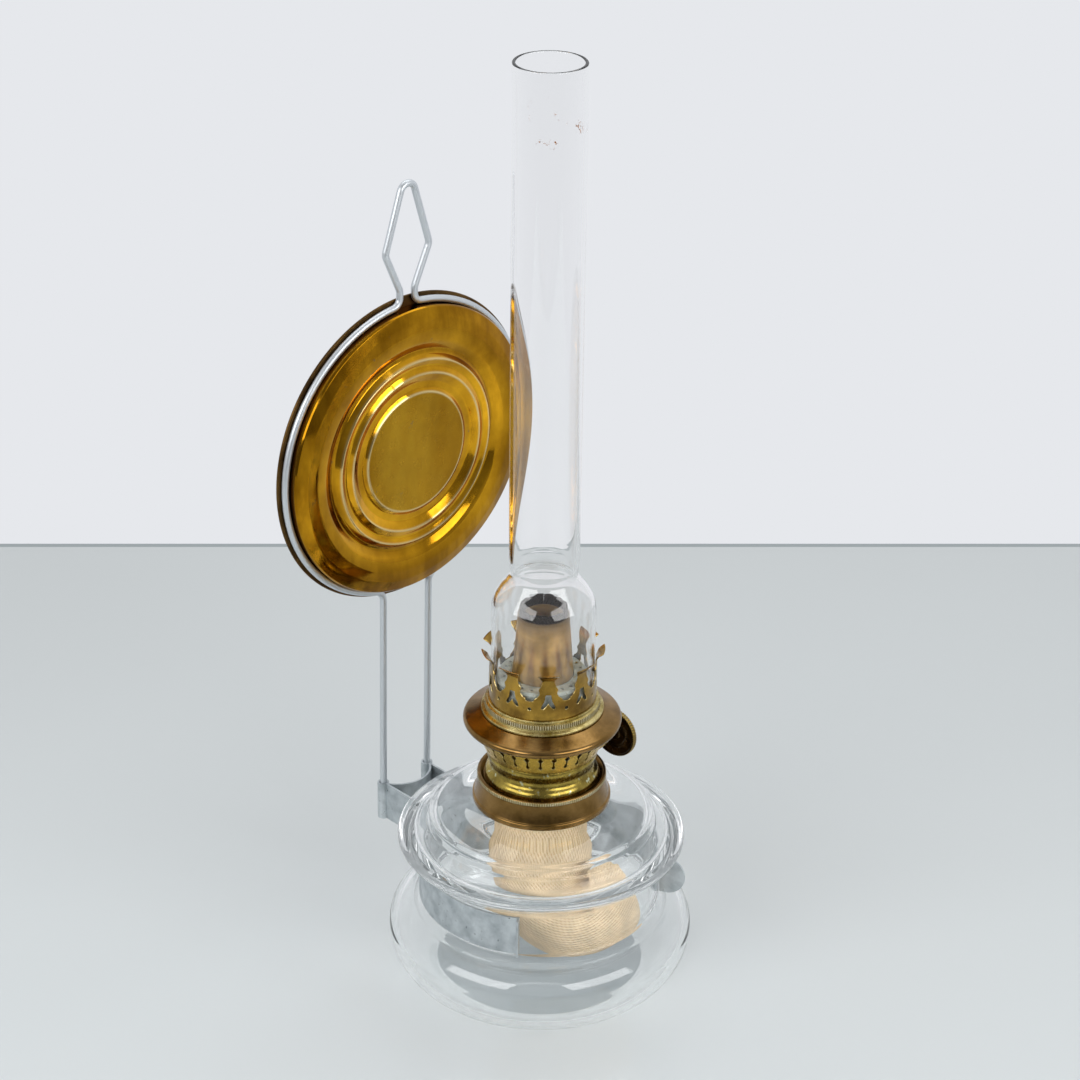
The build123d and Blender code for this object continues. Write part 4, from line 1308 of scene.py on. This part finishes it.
@dataclass
class Wick:
    """Flat cotton wick: rolled to a tube in the burner, opening and turned aside in the font."""

    radius: float = 9.325
    thick: float = 1.0
    seam: float = 0.15
    top: float = 175.5
    roll_low: float = 95.9
    roll_shares: tuple[float, ...] = (1.0, 0.66, 0.33)
    face: float = -134.0
    across: int = 72
    steps: int = 20
    ragged: float = 0.8
    ragged_reach: float = 4.0
    stations: tuple[Station, ...] = (
        Station(0.0, 1.0, 0.0, 1.0),
        Station(0.0, 1.04, 0.54, 1.12),
        Station(0.0, 1.23, 1.29, 1.55),
        Station(0.0, 1.29, 2.36, 2.09),
        Station(0.0, 1.7, 3.4, 2.15),
        Station(0.0, 2.35, 4.5, 2.15),
        Station(0.3, 3.05, 5.4, 2.15, 6.0),
        Station(1.3, 3.6, 6.0, 2.2, 18.0),
        Station(2.4, 3.7, 6.15, 2.3, 33.0),
        Station(3.5, 3.15, 6.1, 2.4, 50.0),
        Station(4.35, 2.2, 5.9, 2.45, 66.0),
    )

    @property
    def width(self) -> float:
        """Flat width of the wick in millimetres."""
        return FULL_TURN * self.radius - self.seam

    def level_way(self, turn: float) -> Vector:
        """Level direction at a turn in degrees from the wick's face."""
        angle = math.radians(self.face + turn)
        return Vector((math.cos(angle), math.sin(angle), 0.0))

    def section(self, middle: Vector, along: Vector, face: Vector, curl: float) -> list[Vector]:
        """Lay points across the ribbon, on an arc that bulges towards its face.

        Args:
            middle: middle of the ribbon.
            along: direction of its length.
            face: direction of its face.
            curl: radius of the arc.

        Returns:
            Points from edge to edge.
        """
        side = along.cross(face)
        points = []
        for k in range(self.across + 1):
            turn = (k / self.across - 0.5) * self.width / curl
            points.append(middle - face * curl + (face * math.cos(turn) + side * math.sin(turn)) * curl)
        return points

    def sections(self) -> list[list[Vector]]:
        """Lay the sections from the top to the end of the tail, square to the wick's middle line.

        Returns:
            Points of each section.
        """
        ahead = self.level_way(0.0)
        beside = self.level_way(90.0)
        up = Vector((0.0, 0.0, 1.0))
        heights = [self.roll_low + (self.top - self.roll_low) * share for share in self.roll_shares]
        roll = [ahead * self.radius + up * height for height in heights]
        sections = [self.section(middle, -up, ahead, self.radius) for middle in roll]
        ways = [beside * s.aside + ahead * s.forward - up * s.drop for s in self.stations]
        middles = [up * self.roll_low + way * self.radius for way in ways]
        after = [*middles[1:], middles[-1]]
        for i, station in enumerate(self.stations):
            along = (after[i] - middles[i - 1]).normalized() if i else -up
            face = self.level_way(station.facing)
            face = (face - along * face.dot(along)).normalized()
            sections.append(self.section(middles[i], along, face, station.curl * self.radius))
        return sections

    def rows(self) -> list[list[Vector]]:
        """Run rows of points along the wick, smooth through the sections.

        Returns:
            Rows from the top edge down.
        """
        sections = self.sections()
        columns = [through([s[k] for s in sections], self.steps) for k in range(self.across + 1)]
        return [[column[i] for column in columns] for i in range(len(columns[0]))]

    def burnt_edge(self, column: int) -> float:
        """Work out how far the burnt top edge stands out at a column of the grid.

        Args:
            column: number of the column.

        Returns:
            Share of the raggedness, up or down.
        """
        broad = noise.noise(Vector((column * 0.31, 7.7, 0.3)))
        fine = noise.noise(Vector((column * 0.9, 1.7, 0.9)))
        return broad + 0.6 * fine

    def lay(self, piece: Piece, rows: list[list[Vector]], lengths: list[float]) -> None:
        """Put the grid's points on the rows, and its UV map in metres of cloth.

        Args:
            piece: flat grid of a unit's size.
            rows: rows of points in millimetres.
            lengths: length of cloth from the top edge to each row, in millimetres.
        """
        mesh = piece.data
        mesh.uv_layers[0].name = "cloth"
        spots = []
        for vert in mesh.vertices:
            column = round((vert.co.x + 0.5) * self.across)
            row = round((0.5 - vert.co.y) * (len(rows) - 1))
            spots.append((column, row))
        for vert, (column, row) in zip(mesh.vertices, spots):
            share = max(0.0, 1.0 - lengths[row] / self.ragged_reach)
            rise = self.ragged * share * self.burnt_edge(column)
            vert.co = (rows[row][column] + Vector((0.0, 0.0, rise))) * MM
        uv = mesh.uv_layers["cloth"].data
        for loop in mesh.loops:
            column, row = spots[loop.vertex_index]
            uv[loop.index].uv = (column / self.across * self.width * MM, lengths[row] * MM)

    def build(self) -> None:
        rows = self.rows()
        middle = self.across // 2
        lengths = [0.0]
        for before, here in zip(rows, rows[1:]):
            lengths.append(lengths[-1] + (here[middle] - before[middle]).length)
        deselect()
        along = len(rows) - 1
        bpy.ops.mesh.primitive_grid_add(x_subdivisions=self.across, y_subdivisions=along, size=1.0)
        piece = bpy.context.active_object
        piece.name = "woven_wick"
        piece.data.name = "woven_wick"
        self.lay(piece, rows, lengths)
        wall = piece.modifiers.new("cloth", "SOLIDIFY")
        wall.thickness = self.thick * MM
        wall.offset = 0.0
        bpy.ops.object.modifier_apply(modifier=wall.name)
        dressed(piece, COTTON, Body.WICK, "wick", angle=60.0)


@dataclass
class Chimney:
    """Blown chimney: straight bulb, shoulder, constriction and long tube."""

    low: float = 134.4
    top: float = 406.0
    wall: float = 1.4
    bulb: float = 21.5
    tube: float = 14.44
    neck: float = 13.75
    bulb_high: float = 175.0
    neck_level: float = 190.5
    tube_level: float = 199.0
    rim_round: float = 0.55
    bend_steps: int = 6
    around: int = 128

    def side(self) -> list[Vector]:
        """Draw the outer side from the foot to the top.

        Returns:
            Points as (radius, height).
        """
        fall = self.bulb - self.neck
        rise = self.neck_level - self.bulb_high
        bend = [
            (self.bulb, self.bulb_high - 8.0),
            (self.bulb, self.bulb_high),
            (self.bulb - fall * 0.09, self.bulb_high + rise * 0.27),
            (self.bulb - fall * 0.35, self.bulb_high + rise * 0.52),
            (self.neck + fall * 0.27, self.neck_level - rise * 0.22),
            (self.neck, self.neck_level),
            (self.neck + 0.35, self.neck_level + 4.0),
            (self.tube, self.tube_level),
            (self.tube, self.tube_level + 10.0),
        ]
        smooth = through([Vector(point) for point in bend], self.bend_steps)
        return [Vector((self.bulb, self.low)), *smooth, Vector((self.tube, self.top))]

    def build(self) -> None:
        """Set the side in by the wall, turn both, and dress the glass."""
        outer = self.side()
        last = len(outer) - 1
        inner = []
        for i, here in enumerate(outer):
            ahead = outer[min(i + 1, last)] - outer[max(i - 1, 0)]
            inner.append(here + Vector((-ahead.y, ahead.x)).normalized() * self.wall)
        bends = [self.rim_round if i in (0, last) else 0.0 for i in range(last + 1)]
        corners = [(p.x, p.y, bend) for side in (outer, reversed(inner)) for p, bend in zip(side, bends)]
        piece = turned("glass_chimney", corners, self.around, bend=4)
        clear_glass(dressed(piece, CHIMNEY_GLASS, Body.CHIMNEY, "chimney", angle=60.0))


@dataclass
class Carrier:
    """Galvanised strap and wire frame, and the stamped brass reflector that the wire's ring holds.

    The face lists the stamped rings from the rim inwards: share of the dish's radius, rise and rounding.
    """

    frame_y: float = 87.7
    lean: float = 1.2
    strap_middle: float = 48.1
    ring_level: float = 218.2
    wire: float = 1.5
    sheet: float = 0.6
    dish_wall: float = 63.9
    dish: float = 64.3
    dish_depth: float = 4.4
    dish_bend: float = 0.3
    back: float = 68.5
    back_gap: float = 0.1
    hem: float = 2.0
    around: int = 160
    face: tuple[Corner, ...] = (
        (0.918, 1.7, 6.0),
        (0.84, 2.2, 10.0),
        (0.762, 1.5, 6.0),
        (0.703, -0.7, 1.8),
        (0.675, -0.2, 1.2),
        (0.642, 2.6, 0.5),
        (0.597, 1.1, 2.4),
        (0.549, 2.8, 0.5),
        (0.488, 0.7, 2.4),
        (0.442, 0.8, 1.6),
        (0.415, 2.0, 0.5),
    )

    def facing(self) -> Matrix:
        """Find the reflector's place: its axis forward, at the ring's height on the leaning frame.

        Returns:
            The place.
        """
        hinge = Matrix.Translation(Vector((0, self.frame_y, self.strap_middle)) * MM)
        to_ring = Matrix.Translation(Vector((0, 0, self.ring_level - self.strap_middle)) * MM)
        lean = Matrix.Rotation(math.radians(self.lean), 4, "X")
        return hinge @ lean @ to_ring @ Matrix.Rotation(math.radians(90.0), 4, "X")

    def dish_outline(self) -> list[Corner]:
        """Draw the section of the stamped front, from the rim of its wall round to the inside of the wall.

        Returns:
            Corners of the closed section.
        """
        sheet = self.sheet
        depth = self.dish_depth
        face = [(self.dish * share, depth + rise, bend) for share, rise, bend in self.face]
        centre = depth + self.face[-1][1]
        edge = [
            (self.dish_wall, -self.wire, 0.1),
            (self.dish_wall, depth - 2 * sheet, 0.2),
            (self.dish, depth - sheet, 0.3),
            (self.dish - sheet, depth + self.dish_bend, 0.5),
        ]
        rear = [(x - 0.1, z - sheet, bend) for x, z, bend in reversed(face)]
        wall = [(self.dish_wall - sheet, depth - sheet, 0.3), (self.dish_wall - sheet, -self.wire, 0.1)]
        return [*edge, *face, (0, centre, 0), (0, centre - sheet, 0), *rear, *wall]

    def back_outline(self) -> list[Corner]:
        """Draw the section of the flat back with its hemmed edge.

        Returns:
            Corners from the middle of the rear to the middle of the front.
        """
        sheet = self.sheet
        front = -self.wire - self.back_gap
        inner = self.back - self.hem
        return [
            (0, front - sheet, 0),
            (inner, front - sheet, 0.2),
            (inner + sheet / 2, front - 2 * sheet, 0.2),
            (self.back - sheet / 2, front - 2 * sheet, 0.25),
            (self.back, front - sheet, 0.3),
            (self.back - sheet / 2, front, 0.25),
            (0, front, 0),
        ]

    def build(self) -> None:
        """Dress the strap and wire, and turn the reflector's two plates in their place."""
        copied("font_strap", "spring_strap", STRAP_ZINC, Body.FONT)
        copied("wire_frame", "bent_wire", WIRE_ZINC, Body.FONT, angle=60.0)
        dish = turned("stamped_reflector", self.dish_outline(), self.around, bend=4)
        dressed(placed(dish, self.facing()), REFLECTOR_BRASS, Body.FONT, "reflector_dish")
        back = turned("reflector_back_plate", self.back_outline(), self.around, bend=3, closed=False)
        dressed(placed(back, self.facing()), DARK_BRASS, Body.FONT, "reflector_back")


@dataclass(frozen=True)
class Panel:
    """Soft light panel: its turn from the camera, rise, distance and size in metres, and its radiance."""

    turn: float
    rise: float
    away: float
    wide: float
    tall: float
    radiance: float


@dataclass
class Studio:
    """Pale glass table, soft light from panels, pale backdrop, and the camera of the photograph."""

    azimuth: float = -44.05
    pitch: float = 26.96
    roll: float = 0.67
    camera_mm: tuple[float, float, float] = (-721.9, -743.6, 733.0)
    lens: float = 95.87
    sensor: float = 36.0
    backdrop: str = "#e6e8ec"
    table: str = "#dee4e6"
    table_rough: float = 0.2
    table_turn: float = 1.47
    table_side: float = 0.62
    table_front: float = 0.75
    table_behind: float = 0.396
    table_edge: str = "#a9b3b6"
    edge_rough: float = 0.3
    edge_wide: float = 0.004
    front_panel: Panel = Panel(turn=47.0, rise=27.0, away=1.15, wide=1.0, tall=0.55, radiance=3.4)
    back_panel: Panel = Panel(turn=150.0, rise=62.0, away=1.1, wide=0.6, tall=0.5, radiance=1.2)
    panel_aim: float = 0.15
    fill: float = 0.4
    dark_side: float = 0.25
    dark_span: Point = (-0.8, 0.2)
    glass_bounces: int = 24

    def turn(self) -> Matrix:
        """Turn about Z that takes +Y to the camera's direction."""
        return Matrix.Rotation(math.radians(self.azimuth), 4, "Z")

    def build(self) -> None:
        """Set up the world, table, panels and camera."""
        scene = bpy.context.scene
        scene.view_settings.view_transform = "Standard"
        scene.cycles.max_bounces = self.glass_bounces
        scene.cycles.glossy_bounces = self.glass_bounces
        scene.cycles.transmission_bounces = self.glass_bounces
        self.build_world(scene)
        self.build_table()
        for panel in (self.front_panel, self.back_panel):
            for side in (-1.0, 1.0):
                self.build_panel(panel, side)
        self.build_camera(scene)

    def build_world(self, scene: bpy.types.Scene) -> None:
        """Show the backdrop to the camera, in mirrors and through glass, and light matt faces softly.

        Mirrors see a darker room behind the camera, which gives metal and glass their dark streaks.

        Args:
            scene: the scene that takes the world.
        """
        scene.world = bpy.data.worlds.new("studio")
        scene.world.use_nodes = True
        nodes = Nodes(scene.world.node_tree)
        path = nodes.add("LightPath").outputs
        seen = nodes.maths("MAXIMUM", path["Is Camera Ray"], path["Is Glossy Ray"])
        seen = nodes.maths("MAXIMUM", seen, path["Is Transmission Ray"])
        sharp = nodes.maths("SUBTRACT", 1.0, path["Diffuse Depth"], clamp=True)
        seen = nodes.maths("MULTIPLY", seen, sharp)
        way = nodes.add("TexCoord").outputs["Generated"]
        ahead = self.turn() @ Vector((0.0, 1.0, 0.0))
        facing = nodes.vector_maths("DOT_PRODUCT", way, ahead, output="Value")
        room = nodes.between(facing, self.dark_span, (self.dark_side, 1.0))
        mirror = nodes.maths("SUBTRACT", path["Is Glossy Ray"], path["Is Transmission Ray"], clamp=True)
        strength = nodes.add("Mix", {0: mirror, 2: 1.0, 3: room}).outputs[0]
        fill = nodes.add("Background", {"Color": linear("#ffffff"), "Strength": self.fill}).outputs[0]
        shown = nodes.add("Background", {"Color": linear(self.backdrop), "Strength": strength}).outputs[0]
        both = nodes.add("MixShader", {0: seen, 1: fill, 2: shown}).outputs[0]
        nodes.add("OutputWorld", {"Surface": both})

    def build_table(self) -> None:
        """Lay the table, whose back edge is the photograph's horizon, and the line of that edge."""
        back = self.table_behind
        end = back + self.edge_wide
        self.build_sheet("table", -self.table_front, back, self.table, self.table_rough)
        self.build_sheet("table_edge", back, end, self.table_edge, self.edge_rough)

    def build_sheet(self, name: str, near: float, far: float, colour: str, rough: float) -> None:
        """Lay a flat sheet of the stage between two distances along the camera's direction.

        Args:
            name: name of the sheet.
            near: its near edge in metres.
            far: its far edge in metres.
            colour: its colour.
            rough: its roughness.
        """
        deselect()
        bpy.ops.mesh.primitive_plane_add(size=1.0)
        sheet = bpy.context.active_object
        sheet.name = name
        for vert in sheet.data.vertices:
            vert.co.x *= 2 * self.table_side
            vert.co.y = far if vert.co.y > 0 else near
        placed(sheet, Matrix.Rotation(math.radians(self.azimuth + self.table_turn), 4, "Z"))
        material = bpy.data.materials.new(name)
        Surface(material).set(Base_Color=linear(colour), Roughness=rough)
        sheet.data.materials.append(material)

    def build_panel(self, kind: Panel, side: float) -> None:
        """Hang a soft panel on one side of the camera's line, turned to the lamp.

        Args:
            kind: the panel.
            side: -1 for the left, 1 for the right.
        """
        data = bpy.data.lights.new("soft_panel", "AREA")
        data.shape = "RECTANGLE"
        data.size = kind.wide
        data.size_y = kind.tall
        data.energy = kind.radiance * math.pi * kind.wide * kind.tall
        panel = bpy.data.objects.new("soft_panel", data)
        bpy.context.scene.collection.objects.link(panel)
        turn = math.radians(side * kind.turn)
        rise = math.radians(kind.rise)
        level = math.cos(rise)
        out = Vector((math.sin(turn) * level, -math.cos(turn) * level, math.sin(rise)))
        place = Matrix.Translation(out * kind.away + Vector((0.0, 0.0, self.panel_aim)))
        panel.matrix_world = self.turn() @ place @ out.to_track_quat("Z", "Y").to_matrix().to_4x4()
        panel.visible_camera = False

    def build_camera(self, scene: bpy.types.Scene) -> None:
        """Set the camera of the photograph.

        Args:
            scene: the scene that looks through it.
        """
        data = bpy.data.cameras.new("camera")
        data.lens = self.lens
        data.sensor_width = self.sensor
        camera = bpy.data.objects.new("camera", data)
        scene.collection.objects.link(camera)
        look = Matrix.Rotation(math.radians(90.0 - self.pitch), 4, "X")
        roll = Matrix.Rotation(math.radians(self.roll), 4, "Z")
        camera.matrix_world = Matrix.Translation(Vector(self.camera_mm) * MM) @ self.turn() @ look @ roll
        scene.camera = camera


def main() -> None:
    """Build every sub-assembly and the studio, in order."""
    logging.basicConfig(level=logging.INFO, format="%(message)s")
    for assembly in (Font(), Collar(), Burner(), Winder(), Wick(), Chimney(), Carrier(), Studio()):
        LOG.info("building %s", type(assembly).__name__)
        assembly.build()


if __name__ == "__main__":
    main()
